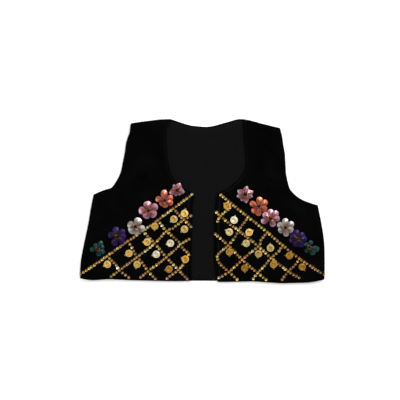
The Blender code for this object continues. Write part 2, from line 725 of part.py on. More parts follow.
def coin(name, spec, mesh, surface):
    """A coin resting on what is under it, with its origin on the pivot at its loop."""
    outward = Vector((math.cos(math.radians(spec.turn)), math.sin(math.radians(spec.turn))))
    across = Vector((-outward.y, outward.x))
    middle = COIN_REACH - COIN_PIVOT_INSET
    pivot = Vector((spec.x, spec.y)) + outward * middle
    foot = height_at(surface, pivot.x, pivot.y, LOOP_END * 2) + SEAM_GAP
    lean = -math.inf
    for ring in COIN_RINGS:
        for i in range(FINE_PROBES):
            turn = 2 * math.pi * i / FINE_PROBES
            inward = middle + ring * COIN_RADIUS * math.cos(turn)
            spot = pivot - outward * inward + across * ring * COIN_RADIUS * math.sin(turn)
            rise = height_at(surface, spot.x, spot.y, COIN_EASE) + SEAM_GAP - foot
            lean = max(lean, math.atan2(rise, inward))
    turned = Matrix.Rotation(math.radians(spec.turn + 180), 3, "Z") @ Matrix.Rotation(-lean, 3, "Y")
    return placed(name, mesh, (pivot.x, pivot.y, foot + COIN_WALL / 2), turned)


def petal_reach(spec, turn):
    """How far a flower's edge is from its middle, in one direction."""
    reach = NOTCH_SHARE * spec.width / 2
    for petal in spec.petals:
        off = abs((turn - math.radians(petal.turn) + math.pi) % (2 * math.pi) - math.pi)
        if spec.pointed:
            reach = max(reach, petal.reach * (1 - off / math.radians(POINTED_SPAN)))
            continue
        centre = petal.reach - PETAL_RADIUS
        aside = centre * math.sin(off)
        if off < math.pi / 2 and aside < PETAL_RADIUS:
            reach = max(reach, centre * math.cos(off) + math.sqrt(PETAL_RADIUS**2 - aside**2))
    return reach


def clear_reach(spec, others, turn):
    """The same, kept on this flower's side of the line between it and each neighbour."""
    reach = petal_reach(spec, turn)
    for other in others:
        away = Vector((other.x - spec.x, other.y - spec.y))
        share = spec.width / (spec.width + other.width)
        towards = math.cos(turn - math.atan2(away.y, away.x))
        if towards > 0:
            reach = min(reach, (away.length * share - SEAM_GAP / 2) / towards)
    return reach


FlowerRing = namedtuple("FlowerRing", "share rise")
FLOWER_RINGS = (
    FlowerRing(1, 0),
    FlowerRing(1, FLOWER_RIM * FLOWER_RISE),
    FlowerRing(0.82, 1.15 * FLOWER_RISE),
    FlowerRing(0.5, 0.6 * FLOWER_RISE),
    FlowerRing(0.24, BEAD_RISE),
)


def flower(name, spec, others, surface):
    """A flower over what is under it: a bead at its middle, a hollow round it and raised petals."""
    base = resting_plane(surface, spec.x, spec.y, spec.width / 2)
    points, rings = [], []

    def add(share, turn, rise):
        """Adds a point at a share of the flower's reach that way, and gives its index."""
        reach = clear_reach(spec, others, turn) * share
        right, up = reach * math.cos(turn), reach * math.sin(turn)
        points.append((right, up, base(right, up) + rise))
        return len(points) - 1

    turns = []
    for petal, after in zip(spec.petals, spec.petals[1:] + spec.petals[:1]):
        gap = (after.turn - petal.turn) % 360
        turns += [math.radians(petal.turn + gap * i / PETAL_POINTS) for i in range(PETAL_POINTS)]
    count = len(turns)
    for ring in FLOWER_RINGS:
        rings.append([add(ring.share, turn, ring.rise) for turn in turns])
    bottom, top = add(0, 0, 0), add(0, 0, BEAD_RISE + BEAD_CROWN)
    faces = []
    for i in range(count):
        after = (i + 1) % count
        faces.append([bottom, rings[0][after], rings[0][i]])
        faces.append([top, rings[-1][i], rings[-1][after]])
        for low, high in zip(rings, rings[1:]):
            faces.append([low[i], low[after], high[after], high[i]])
    return placed(name, closed_mesh(name, points, faces, spec.colour), (spec.x, spec.y, 0))


def main():
    """Makes the vest."""
    clear_scene()
    back()
    back_lining()
    coins = coin_mesh()
    for side in ("right", "left"):
        cloth = front(side)
        strings = trellis(side, surface_of([cloth]))
        carried = surface_of([cloth, strings])
        for spec in FLOWERS[side]:
            others = [other for other in FLOWERS[side] if other is not spec]
            flower(f"flower_{side}_{spec.colour}", spec, others, carried)
        for number, spec in enumerate(COINS[side], 1):
            coin(f"coin_{side}_{number:02d}", spec, coins, carried)


main()
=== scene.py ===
"""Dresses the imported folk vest: velvet, lining, sequin trellis, coins and petalled flowers.

The vest lies flat on its back, its two fronts over it. +X runs towards the wearer's left, +Y towards the
neck and +Z up. Tables are in millimetres, and MM turns them to Blender's metres.
"""

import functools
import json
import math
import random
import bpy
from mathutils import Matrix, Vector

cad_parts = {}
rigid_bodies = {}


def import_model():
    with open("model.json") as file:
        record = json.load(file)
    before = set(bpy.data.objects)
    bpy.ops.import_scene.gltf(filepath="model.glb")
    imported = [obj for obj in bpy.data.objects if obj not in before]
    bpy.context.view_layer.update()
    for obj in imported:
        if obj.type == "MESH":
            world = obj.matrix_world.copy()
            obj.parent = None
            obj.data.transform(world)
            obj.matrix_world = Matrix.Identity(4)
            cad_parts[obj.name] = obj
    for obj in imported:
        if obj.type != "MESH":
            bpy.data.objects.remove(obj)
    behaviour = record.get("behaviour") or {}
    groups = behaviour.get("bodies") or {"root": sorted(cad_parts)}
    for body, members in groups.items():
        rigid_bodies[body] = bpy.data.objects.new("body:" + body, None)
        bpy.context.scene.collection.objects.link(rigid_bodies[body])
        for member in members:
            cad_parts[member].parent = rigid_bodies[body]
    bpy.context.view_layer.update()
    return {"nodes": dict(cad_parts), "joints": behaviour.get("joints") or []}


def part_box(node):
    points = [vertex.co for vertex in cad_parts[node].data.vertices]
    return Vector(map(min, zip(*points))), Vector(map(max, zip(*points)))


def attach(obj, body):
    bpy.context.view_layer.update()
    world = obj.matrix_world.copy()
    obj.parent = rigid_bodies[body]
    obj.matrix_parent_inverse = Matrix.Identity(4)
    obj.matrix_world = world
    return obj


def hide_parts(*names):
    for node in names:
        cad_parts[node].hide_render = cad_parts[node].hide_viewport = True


bl_info = {
    "name": "Folk Vest",
    "version": (1, 0, 0),
    "blender": (4, 5, 0),
    "location": "3D View > Sidebar > Folk Vest",
    "description": "Dresses a packed folk vest in velvet, sequins, coins and petalled flowers",
    "category": "Add Mesh",
}

from collections import namedtuple

import bmesh
import bpy
import numpy as np
from mathutils import Matrix, Vector
from mathutils.bvhtree import BVHTree

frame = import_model()

MM = 0.001

# The cut and lie of the cloth, as the solids have them

SEAM_GAP = 0.3
SEAM_HEIGHT = 3.8  # the side and shoulder seams lie halfway up the folded edge
FOLD_TOP = 7.6  # a front's height beside a fold
BODY_TOP = 6.2  # and over its middle
EDGE_TOP = 5.5  # and along its open edges
SIDE_ROLL = 9.0  # how far in from the seam the rounded fold reaches
SHOULDER_ROLL = 8.0
SIDE_EASE = 60.0  # how far in the cloth takes to settle from a fold
SHOULDER_EASE = 45.0
EDGE_EASE = 11.0
NECK_EASE = 10.0  # how far along the back neck the shoulder fold dies out
ARMHOLE_INSET = 1.0  # the back's armhole lies just under the front's
BACK_HEM_DROP = 3.1
LINING_SIDE_INSET = 10.5
LINING_INSET = 1.5  # at the back neck and the hem

# Cross-sections from hem to shoulder, as (x, y) where each meets the wearer's right side, the right
# front's edge, the left front's edge and the left side. A side is folded (1) below the armhole.
Section = namedtuple("Section", "right_side right_edge left_edge left_side fold")
SECTIONS = (
    Section((-195, -123), (-16, -127), (24.5, -129), (195.5, -125), 1),
    Section((-195, -110), (-17, -107), (20, -107), (196, -108.5), 1),
    Section((-193.5, -92.5), (-17, -86), (19, -86), (196, -89), 1),
    Section((-189.5, -71.5), (-16.5, -63.5), (19, -65), (195.5, -70), 1),
    Section((-185.5, -52.5), (-16, -43), (19, -44.5), (193.5, -51.5), 1),
    Section((-181.5, -33), (-15, -22), (19.5, -23.5), (190.5, -34), 1),
    Section((-178, -11.5), (-14.5, -4.5), (21, -4.5), (187.5, -19), 1),
    Section((-173.5, 11), (-11.5, 9), (23, 13), (185, -6.5), 1),
    Section((-157, 18), (-22.5, 18), (32, 16.5), (169.5, -1.5), 0.35),
    Section((-145, 22), (-32.5, 23.5), (42, 21.5), (158, 3.5), 0),
    Section((-138.5, 30.5), (-40.5, 30), (50.5, 28.5), (148.5, 10.5), 0),
    Section((-132.5, 41), (-47, 39), (58, 35.5), (141, 19), 0),
    Section((-129, 51.5), (-51.5, 51), (63.5, 43.5), (137.5, 29), 0),
    Section((-126.5, 65), (-54.5, 64.5), (68, 52.5), (134.5, 44.5), 0),
    Section((-123.5, 79.5), (-56, 78), (70, 63.5), (133.5, 60.5), 0),
    Section((-122, 91), (-57, 91), (69, 77), (132.5, 75.5), 0),
    Section((-119.5, 101), (-57.5, 103.5), (68, 91), (130, 90), 0),
    Section((-116, 110), (-56.5, 117), (67, 104.5), (128, 103), 0),
    Section((-114.5, 124.5), (-50, 131.5), (65.5, 131.5), (125, 117), 0),
)
UNDERARM = 7
NECK_BASE = 13  # the shoulders' own shape starts to show above this section
LAST = len(SECTIONS) - 1
HEM_SECTION = SECTIONS[1].right_edge[1] - SECTIONS[0].right_edge[1]  # the height of the lowest section

# The top line as (x, y), from the right shoulder by the back neck to the left one
TOP_LINE = (
    (-114.5, 124.5), (-99.5, 127), (-83.5, 129), (-67.5, 131), (-50, 131.5), (-35.5, 126), (-19.5, 121),
    (4.5, 118.5), (16, 119.5), (28.5, 123), (44.5, 127.5), (57.5, 131.5), (65.5, 131.5), (76.5, 129.5),
    (96, 124), (108.5, 121), (125, 117),
)
NECK_POINTS = (-50, 65.5)

# How far each front's hem hangs below the straight line between its corners, as (share of width, drop)
HEM_DROP = {
    "right": ((0, 0), (0.1, 2.7), (0.26, 0.2), (0.45, 1.2), (0.75, 1.6), (0.9, 1.2), (1, 0)),
    "left": ((0, 0), (0.08, 2.7), (0.15, 4.5), (0.4, 4.7), (0.55, 2.4), (0.67, 0.4), (0.95, 0.4), (1, 0)),
}

# Soft folds and creases of the fronts: a ridge, or a trough where the height is negative, at (x, y),
# turned from +X in degrees, with its length, its width and its height.
Fold = namedtuple("Fold", "x y turn length width height")
FOLDS = (
    Fold(110, 39, -5, 44, 7, 1.3),
    Fold(80, 76, 84, 36, 5, 0.8),
    Fold(118, 66, 70, 40, 9, 0.9),
    Fold(160, -22, -24, 52, 10, 0.8),
    Fold(-104, 44, 12, 46, 9, 0.9),
    Fold(-78, 84, 96, 46, 8, 0.8),
    Fold(-150, -10, 28, 50, 11, 0.9),
    Fold(-120, -92, 78, 46, 14, 0.6),
    Fold(92, -62, 98, 50, 14, 0.6),
    # and the finer creases between them
    Fold(108, 32, -3, 34, 2.6, -0.55),
    Fold(75, 70, 87, 22, 2.2, -0.45),
    Fold(88, 74, 82, 18, 2.4, 0.4),
    Fold(98, 88, 100, 26, 3, -0.35),
    Fold(124, 50, 62, 24, 3, -0.4),
    Fold(150, -12, -30, 30, 3, -0.45),
    Fold(172, -34, -70, 34, 3.5, 0.4),
    Fold(140, 2, -38, 22, 2.6, 0.4),
    Fold(60, 104, 92, 26, 3.2, 0.35),
    Fold(-68, 96, 88, 30, 3, -0.4),
    Fold(-92, 76, 104, 26, 3, 0.35),
    Fold(-110, 58, 40, 26, 3, -0.4),
    Fold(-98, 36, 8, 30, 3, -0.45),
    Fold(-134, 4, 34, 30, 3, 0.4),
    Fold(-160, -16, 60, 34, 3.4, -0.4),
    Fold(-172, -50, 80, 40, 4, 0.35),
    Fold(184, -70, 92, 40, 4, 0.35),
    Fold(-45, 60, 75, 28, 3, 0.3),
    Fold(-140, -108, 12, 34, 4, 0.3),
    Fold(150, -106, -8, 34, 4, 0.3),
)

# Shallow waves of the lining, seen inside the neck and between the fronts
LINING_FOLDS = (
    Fold(-18, 70, 82, 60, 7, 0.35),
    Fold(14, 88, 96, 50, 9, 0.3),
    Fold(38, 62, 74, 44, 7, 0.3),
    Fold(2, -50, 88, 70, 4, 0.3),
    Fold(4, 22, 4, 30, 7, -0.25),
)

# What is sewn on

# The points that the sequin strings run through, as (x, y): A to D climb towards the shoulder, P to T fall
# across them. One named by two letters is where those two cross, and one with 1 or 2 is only a bend.
KNOTS = {
    "right": {
        "A0": (-193.5, -116.3), "AP": (-151.5, -87.5), "AQ": (-118.5, -63.5), "AR": (-94.5, -47.5),
        "AS": (-70.5, -30), "AT": (-46, -11.5), "A9": (-16.4, 10.9), "B0": (-145, -119.5),
        "BP": (-132, -110), "BQ": (-104, -89), "BR": (-75.5, -67), "BS": (-57, -47.5), "BT": (-29, -29),
        "B9": (-18, -22.8), "C0": (-98, -121), "CQ": (-86, -111.5), "CR": (-57, -89),
        "CS": (-34, -68.5), "C9": (-21, -60.5), "D0": (-56, -123), "DR": (-38, -109),
        "DS": (-21.5, -85), "P9": (-117, -121), "Q9": (-74.5, -123.5), "R9": (-24, -123.5),
        "T9": (-18, -40.2), "B1": (-46.6, -42.8), "D1": (-29.8, -100), "D2": (-30.2, -75.4),
        "P1": (-138.5, -99.8), "Q1": (-112.8, -72.2), "Q2": (-97.8, -94.8), "R1": (-85.8, -57.2),
        "S1": (-45, -57.2),
    },
    "left": {
        "A0": (194, -117), "AP": (155, -91), "AQ": (128.5, -70), "AR": (104, -49), "AS": (73.5, -25),
        "AT": (49.5, -6), "A9": (30, 10), "B0": (155, -122), "BP": (137.5, -111.5), "BQ": (110, -90),
        "BR": (89.5, -71.5), "BS": (58, -46), "BT": (29.5, -23.5), "B9": (23, -17.5), "C0": (102, -125),
        "CQ": (88.5, -114), "CR": (64, -93), "CS": (41.5, -70), "C9": (21, -52), "D0": (56, -124.5),
        "DR": (43, -112.5), "DS": (24, -87.5), "P9": (128, -124.5), "Q9": (81.5, -123.5),
        "R9": (27, -122), "T9": (24.5, -31.5), "B1": (46, -37.6), "D1": (28, -98.6),
        "D2": (30.5, -80.3), "P1": (148.5, -101.3), "Q1": (122.8, -79.2), "Q2": (97.5, -105.2),
        "R1": (95, -60.5), "S1": (52.8, -56.6),
    },
}
STRINGS = (
    ("A0", "AP", "AQ", "AR", "AS", "AT", "A9"),
    ("B0", "BP", "BQ", "BR", "BS", "B1", "BT", "B9"),
    ("C0", "CQ", "CR", "CS", "C9"),
    ("D0", "DR", "D1", "DS", "D2", "CS", "S1", "BS", "AS"),
    ("AP", "P1", "BP", "P9"),
    ("AQ", "Q1", "BQ", "Q2", "CQ", "Q9"),
    ("AR", "R1", "BR", "CR", "DR", "R9"),
    ("AT", "BT", "T9"),
)

# Flowers: the middle, the width over the petals, whether the petals are pointed, and each petal's
# direction in degrees from +X with its reach from the middle.
Flower = namedtuple("Flower", "colour x y width pointed petals")
FLOWERS = {
    "right": (
        Flower("teal", -166.5, -76.5, 26, False, (
            (28, 11.5), (63, 15), (118, 10.5), (183, 12.5), (280, 11.5), (332, 12.5),
        )),
        Flower("purple", -136, -56.5, 31, False, (
            (2, 15.5), (41, 17), (98, 16.5), (163, 14.5), (250, 15.5), (318, 16.5),
        )),
        Flower("white", -106, -41, 29, False, (
            (68, 16), (155, 14), (221, 13.5), (276, 12.7), (345, 15.5),
        )),
        Flower("mauve", -85.5, -15, 32, False, (
            (31, 18), (100, 15.6), (178, 16), (247, 13.7), (324, 14.8),
        )),
        Flower("coral", -60.5, 1, 29, False, (
            (25, 15.5), (90, 17.5), (165, 14.5), (228, 10), (282, 11.5), (340, 15),
        )),
        Flower("pink", -40, 17.5, 25, True, (
            (68, 12.8), (123, 11), (200, 13.5), (254, 10), (302, 9.5), (345, 12.8),
        )),
    ),
    "left": (
        Flower("pink", 68.5, 10.5, 28, True, (
            (22, 14.5), (78, 14.5), (150, 14.5), (192, 14), (236, 12), (279, 14), (345, 13),
        )),
        Flower("orange", 90.5, -8.5, 31, False, (
            (32, 16.7), (84, 16), (155, 16), (220, 14.5), (266, 15.3), (338, 14.4),
        )),
        Flower("mauve", 109, -28, 31, False, (
            (2, 15.3), (45, 17), (90, 16), (141, 17), (199, 16.2), (295, 14),
        )),
        Flower("white", 133, -42, 28, False, (
            (31, 15.6), (92, 15.3), (154, 15.5), (210, 13.2), (275, 14.7), (337, 13.7),
        )),
        Flower("purple", 152, -60.5, 30, False, (
            (2, 15.5), (42, 14.6), (96, 15.5), (142, 13.8), (187, 13.3), (252, 12.7), (304, 16),
        )),
        Flower("teal", 171, -73.5, 25, False, (
            (74, 11.5), (138, 10), (231, 10), (303, 14.3), (347, 16.5),
        )),
    ),
}

# Petal colours: in the hollow by the beads, darkened there as painted shade, over the petal, and at its
# tip, lightened as a painted highlight
PetalColours = namedtuple("PetalColours", "base middle tip")
PETAL_COLOURS = {
    "teal": PetalColours("#0c1a16", "#0b2e2a", "#154a43"),
    "purple": PetalColours("#130619", "#1a0739", "#2a104e"),
    "white": PetalColours("#5a4738", "#817872", "#a49e9b"),
    "mauve": PetalColours("#602626", "#84505e", "#b08598"),
    "coral": PetalColours("#6a1902", "#93300e", "#bd7850"),
    "orange": PetalColours("#6e2003", "#974114", "#a45c32"),
    "pink": PetalColours("#5e2a2c", "#855360", "#c095a6"),
}
DULL = ("teal", "purple")  # dyed petals without the pearl coat


def linear(hex_colour):
    """An sRGB hex colour as linear red, green and blue."""
    values = [int(hex_colour[i : i + 2], 16) / 255 for i in (1, 3, 5)]
    return tuple(v / 12.92 if v <= 0.04045 else ((v + 0.055) / 1.055) ** 2.4 for v in values)


# Settings


def length_setting(name, default, description):
    """A setting for a size or a distance, in metres."""
    return bpy.props.FloatProperty(name=name, description=description, default=default, unit="LENGTH")


def colour_setting(name, default, description):
    """A setting for a colour, whose default is an sRGB hex value."""
    return bpy.props.FloatVectorProperty(
        name=name, description=description, default=linear(default), subtype="COLOR"
    )


def light_setting(name, default, description):
    """A setting for the power or the strength of a light."""
    return bpy.props.FloatProperty(name=name, description=description, default=default)


class ClothSettings(bpy.types.PropertyGroup):
    """The velvet panels and the lining."""

    velvet_colour: colour_setting("Velvet", "#010101", "Colour down between the piles of the cotton velvet")
    nap_colour: colour_setting("Velvet Nap", "#040404", "Colour where the pile is brushed the other way")
    lining_colour: colour_setting("Lining", "#090909", "Colour of the charcoal lining")
    back_wall: length_setting("Back Wall", 1.5 * MM, "Thickness of the back's velvet")
    lining_wall: length_setting("Lining Wall", 1.0 * MM, "Thickness of the lining")
    front_wall: length_setting(
        "Front Wall", 2.2 * MM, "Thickness of a front, velvet and its own lining together"
    )
    thread_spacing: length_setting(
        "Thread Spacing", 1.1 * MM, "Distance between the lining's threads, coarser than real to show"
    )
    pile_spacing: length_setting(
        "Pile Spacing", 0.7 * MM, "Distance between the velvet's tufts, coarser than real to show"
    )


class SequinSettings(bpy.types.PropertyGroup):
    """The cup sequins of the trellis, each held by a seed bead."""

    diameter: length_setting("Diameter", 4.5 * MM, "Width of a cup sequin")
    pitch: length_setting("Pitch", 5.36 * MM, "Distance from one sequin to the next along a string")
    cup_depth: length_setting("Cup Depth", 0.8 * MM, "How deep a sequin is dished")
    bead_diameter: length_setting("Bead Diameter", 1.7 * MM, "Width of the seed bead that holds a sequin")
    most_tilt: bpy.props.FloatProperty(
        name="Most Tilt",
        description="How far a sequin may lean from the cloth",
        default=math.radians(13),
        subtype="ANGLE",
    )


class CoinSettings(bpy.types.PropertyGroup):
    """The stamped coins and the thread that holds them."""

    radius: length_setting("Radius", 5.7 * MM, "Half the width of a coin")
    wall: length_setting("Thickness", 0.9 * MM, "Thickness of a coin at its rim")
    relief: length_setting("Relief", 0.26 * MM, "How deep the field lies below the rim")
    thread_colour: colour_setting("Thread", "#6d5220", "Colour of the thread through each coin's loop")


class FlowerSettings(bpy.types.PropertyGroup):
    """The pearly petals and the beads in their middles."""

    petal_wall: length_setting("Petal Wall", 0.35 * MM, "Thickness of a petal")
    petal_crown: length_setting("Petal Crown", 1.6 * MM, "How high a petal is domed over its own edge")
    seed_diameter: length_setting("Seed Diameter", 1.9 * MM, "Width of a seed bead in a flower's middle")
    seed_count: bpy.props.IntProperty(
        name="Seeds",
        description="Seed beads round a flower's middle bead",
        default=7,
        min=3,
    )


class StageSettings(bpy.types.PropertyGroup):
    """The floor, the lights and the camera."""

    view_width: length_setting("View Width", 0.64, "Width of floor that the camera sees")
    camera_height: length_setting("Camera Height", 2.4, "Height of the camera over the floor")
    floor_colour: colour_setting("Floor", "#f4f4f4", "Colour of the paper floor")
    key_power: light_setting("Key Light", 16.0, "Power of the softbox at the upper right, in watts")
    fill_power: light_setting("Fill Light", 8.0, "Power of the broad softbox at the left, in watts")
    sky_strength: light_setting("Sky", 0.9, "Strength of the even light from all round")


SETTINGS = {
    "vest_cloth": ClothSettings,
    "vest_sequins": SequinSettings,
    "vest_coins": CoinSettings,
    "vest_flowers": FlowerSettings,
    "vest_stage": StageSettings,
}


# Nodes, meshes and pieces


def add_node(tree, kind, settings=None, **inputs):
    """Adds a shader node with its settings, and sets or links its inputs, named in lower case or by _number.

    A node given as an input is linked from its first output.
    """
    node = tree.nodes.new(kind)
    for name, value in (settings or {}).items():
        setattr(node, name, value)
    sockets = {socket.name.lower().replace(" ", "_"): socket for socket in reversed(node.inputs)}
    for name, value in inputs.items():
        socket = node.inputs[int(name[1:])] if name[1:].isdigit() else sockets[name]
        if isinstance(value, bpy.types.Node):
            value = value.outputs[0]
        if isinstance(value, bpy.types.NodeSocket):
            tree.links.new(value, socket)
        else:
            socket.default_value = value
    return node


def new_material(name, coordinates):
    """An empty material of that name, what adds a node to it, and the coordinates that it reads."""
    made = bpy.data.materials.new(name)
    made.use_nodes = True
    made.node_tree.nodes.clear()
    add = functools.partial(add_node, made.node_tree)
    return made, add, add("ShaderNodeTexCoord").outputs[coordinates]


def finished(add, bump=None, **looks):
    """Ends a material: its looks, on a bump of that height, strength and distance, go to the output."""
    if bump:
        looks["normal"] = add("ShaderNodeBump", **bump)
    shader = add("ShaderNodeBsdfPrincipled", **looks)
    add("ShaderNodeOutputMaterial", surface=shader)


def mesh_piece(name, points, faces, materials, slots=None):
    """A smooth-shaded mesh object from points in metres, at the origin."""
    mesh = bpy.data.meshes.new(name)
    mesh.from_pydata([tuple(point) for point in points], [], faces)
    for material in materials:
        mesh.materials.append(material)
    if slots is not None:
        mesh.polygons.foreach_set("material_index", slots)
    mesh.shade_smooth()
    mesh.validate()
    made = bpy.data.objects.new(name, mesh)
    bpy.context.scene.collection.objects.link(made)
    return made


def start_modelling():
    """Goes to object mode with nothing selected."""
    if bpy.context.mode != "OBJECT":
        bpy.ops.object.mode_set(mode="OBJECT")
    bpy.ops.object.select_all(action="DESELECT")


def edit_all():
    """Goes to edit mode with all of the active object selected."""
    bpy.ops.object.mode_set(mode="EDIT")
    bpy.ops.mesh.select_all(action="SELECT")


def apply_modifier(thing, kind, **settings):
    """Adds a modifier with its settings to the active object, and applies it."""
    modifier = thing.modifiers.new(kind, kind)
    for name, value in settings.items():
        setattr(modifier, name, value)
    bpy.ops.object.modifier_apply(modifier=modifier.name)


LEVEL = 0.99  # the least height of the unit normal of a face that lies level
UPRIGHT = 0.1  # and the most of a face that stands upright


def select_faces(thing, wanted):
    """In edit mode, selects the faces for which wanted(face) is true, and nothing else."""
    mesh = bmesh.from_edit_mesh(thing.data)
    bpy.ops.mesh.select_mode(type="FACE")
    bpy.ops.mesh.select_all(action="DESELECT")
    for face in mesh.faces:
        face.select_set(wanted(face))
    mesh.select_flush_mode()
    bmesh.update_edit_mesh(thing.data)


def taken_mesh(thing):
    """A modelled object's mesh with its place applied. The object itself is removed."""
    start_modelling()
    thing.select_set(True)
    bpy.context.view_layer.objects.active = thing
    bpy.ops.object.transform_apply(location=True, rotation=True, scale=True)
    mesh = thing.data
    bpy.data.objects.remove(thing)
    return mesh


def in_order(mesh):
    """The same mesh with its points and faces sorted by place, as extruding leaves them in any order."""
    order = sorted(range(len(mesh.vertices)), key=lambda i: mesh.vertices[i].co[:])
    rank = {old: new for new, old in enumerate(order)}
    faces = []
    for polygon in mesh.polygons:
        ring = [rank[i] for i in polygon.vertices]
        first = ring.index(min(ring))
        faces.append(ring[first:] + ring[:first])
    ordered = bpy.data.meshes.new(mesh.name)
    ordered.from_pydata([mesh.vertices[i].co for i in order], [], sorted(faces))
    return ordered


# A copy of a small mesh in a joined piece: where it goes, its colours and its material slot. The colours
# run from the first to the last by the mesh's own "along" values, or are one where it has none.
Copy = namedtuple("Copy", "mesh matrix colours slot")


def mark(mesh, name, value_at):
    """Gives a mesh a value for each of its points, by a function of the point in metres."""
    values = mesh.attributes.new(name, "FLOAT", "POINT")
    values.data.foreach_set("value", [value_at(vertex.co) for vertex in mesh.vertices])


def marks(mesh, name):
    """A mesh's values of that name, which are nothing where it has none."""
    values = mesh.attributes.get(name)
    return [value.value for value in values.data] if values else [0.0] * len(mesh.vertices)


def shades(mesh, colours):
    """A linear colour for each point of a mesh, along its row of colours."""
    if len(colours) == 1:
        return [(*colours[0], 1)] * len(mesh.vertices)
    found = []
    for value in marks(mesh, "along"):
        at = min(max(value, 0), 1) * (len(colours) - 1)
        low = min(int(at), len(colours) - 2)
        mix = Vector(colours[low]).lerp(Vector(colours[low + 1]), at - low)
        found.append((*mix, 1))
    return found


SHARP = math.radians(50)  # a joined piece is shaded smooth over edges that turn less than this


def joined_piece(name, copies, materials):
    """One mesh object from many copies of small meshes, with their colours as its attribute "shade"."""
    points, faces, slots, colours, ribs = [], [], [], [], []
    for copy in copies:
        first = len(points)
        points += [copy.matrix @ vertex.co for vertex in copy.mesh.vertices]
        faces += [[first + i for i in polygon.vertices] for polygon in copy.mesh.polygons]
        slots += [copy.slot] * len(copy.mesh.polygons)
        colours += shades(copy.mesh, copy.colours)
        ribs += marks(copy.mesh, "rib")
    made = mesh_piece(name, points, faces, materials, slots)
    made.data.set_sharp_from_angle(angle=SHARP)
    shade = made.data.color_attributes.new("shade", "FLOAT_COLOR", "POINT")
    shade.data.foreach_set("color", [value for colour in colours for value in colour])
    rib = made.data.attributes.new("rib", "FLOAT", "POINT")
    rib.data.foreach_set("value", ribs)
    return made


# Cloth


def fade(distance, reach):
    """1 at no distance, falling softly to nothing beyond the reach."""
    return math.exp(-((distance / reach) ** 2))


def smooth_step(share):
    """0 to 1 along a share, level at both ends."""
    share = min(max(share, 0), 1)
    return share * share * (3 - 2 * share)


def mixed(first, second, share):
    """The value or the point that lies a share of the way from the first to the second."""
    return first + (second - first) * share


def read_table(pairs, at):
    """The value at a place in a table of (place, value) rows, by straight lines."""
    for (low, first), (high, second) in zip(pairs, pairs[1:]):
        if at <= high:
            return mixed(first, second, max((at - low) / (high - low), 0))
    return pairs[-1][1]


def running_lengths(points):
    """How far along a line each of its points lies."""
    return np.cumsum([0] + [(b - a).length for a, b in zip(points, points[1:])])


def curve_point(points, place, first, last):
    """A point of the smooth curve through points[first] to points[last]."""
    i = min(int(place), last - 1)
    here, after = Vector(points[i]), Vector(points[i + 1])
    before = Vector(points[i - 1]) if i > first else here * 2 - after
    beyond = Vector(points[i + 2]) if i + 2 <= last else after * 2 - here
    s = place - i
    return 0.5 * (
        here * 2
        + (after - before) * s
        + (before * 2 - here * 5 + after * 4 - beyond) * s**2
        + (here * 3 - before - after * 3 + beyond) * s**3
    )


# A row of a panel is a section's place from hem to shoulder, or, in the shoulder fold, the distance that
# is left to the shoulder seam.
Row = namedtuple("Row", "place left_over")
FOLD_ANGLES = (14, 24, 36, 48, 60, 74, 90)  # the seam's rounded edge takes up what comes before the first
STEPS = 4  # rows for each section
LINING_STEPS = 2
LAST_STEP = 0.8  # from the row below the shoulder's fold to the seam, in sections
RIM_ANGLES = (45, 90, 135)
RIM_SHARE = 0.8  # how far an edge bulges, as a share of half the wall
FRONT_COLUMNS = 30
BACK_COLUMNS = (14, 18, 14)
EDGE_SHARES = (0.965, 0.98, 0.992)


@functools.cache
def row_end(column, row):
    """Where a row meets one of the four edges of the sections."""
    points = [getattr(section, column) for section in SECTIONS]
    if row.left_over is None:
        ends = (0, UNDERARM) if row.place <= UNDERARM else (UNDERARM, LAST)
        return curve_point(points, row.place, *ends)
    seam, below = (curve_point(points, place, UNDERARM, LAST) for place in (LAST, LAST - 1))
    return seam + (below - seam).normalized() * row.left_over


def panel_rows(hem_inset):
    """All the rows of a panel, whose hem's rounded edge takes up the inset."""
    rows = [Row(hem_inset / HEM_SECTION, None)]
    rows += [Row(i / STEPS, None) for i in range(1, STEPS * (LAST - 1) + 1)]
    rows.append(Row(LAST - LAST_STEP, None))
    return rows + [Row(LAST, roll_distance(angle, SHOULDER_ROLL)) for angle in reversed(FOLD_ANGLES)]


def side_fold(row):
    """How far the side is folded on this row: 1 below the armhole, 0 in it."""
    i = min(int(row.place), LAST - 1)
    return mixed(SECTIONS[i].fold, SECTIONS[i + 1].fold, row.place - i)


def roll_distance(angle, reach):
    """How far in from the seam a rounded fold has turned by an angle in degrees."""
    return reach * (1 - math.cos(math.radians(angle)))


def roll_angle(distance, reach):
    """The turn of a rounded fold: 0 where its wall stands upright at the seam, a right angle once flat."""
    return math.acos(1 - min(distance / reach, 1))


def top_shift(row, low, high, share):
    """How much higher the shaped top line is than a straight one, easing out down the panel."""
    line = mixed(low, high, share)
    shaped = read_table(TOP_LINE, line.x) - line.y
    if row.left_over is not None:
        return shaped
    return shaped * smooth_step((row.place - NECK_BASE) / (LAST - NECK_BASE))


def folds_height(folds, x, y):
    """The height of a table's soft folds at a point."""
    total = 0
    for fold in folds:
        turn = math.radians(fold.turn)
        away = Vector((x - fold.x, y - fold.y))
        lengthwise = away.x * math.cos(turn) + away.y * math.sin(turn)
        across = away.y * math.cos(turn) - away.x * math.sin(turn)
        total += fold.height * fade(lengthwise, fold.length / 2) * fade(across, fold.width)
    return total


def flat_point(row, columns, share, hem_drop):
    """A panel's point in plan at a share of a row's width, and its distance from the shoulder seam."""
    ends, seam = ([row_end(column, at) for column in columns] for at in (row, Row(LAST, 0)))
    flat = mixed(*ends, share)
    from_shoulder = (mixed(*seam, share) - flat).length
    flat.y += top_shift(row, *seam, share)
    if row.left_over is None and row.place < 1:
        flat.y -= hem_drop * (1 - row.place)
    return flat, from_shoulder


# A roll towards a seam: the distance from it, how far in the roll reaches, and how far it is folded, 0 to 1.
Roll = namedtuple("Roll", "distance reach fold")


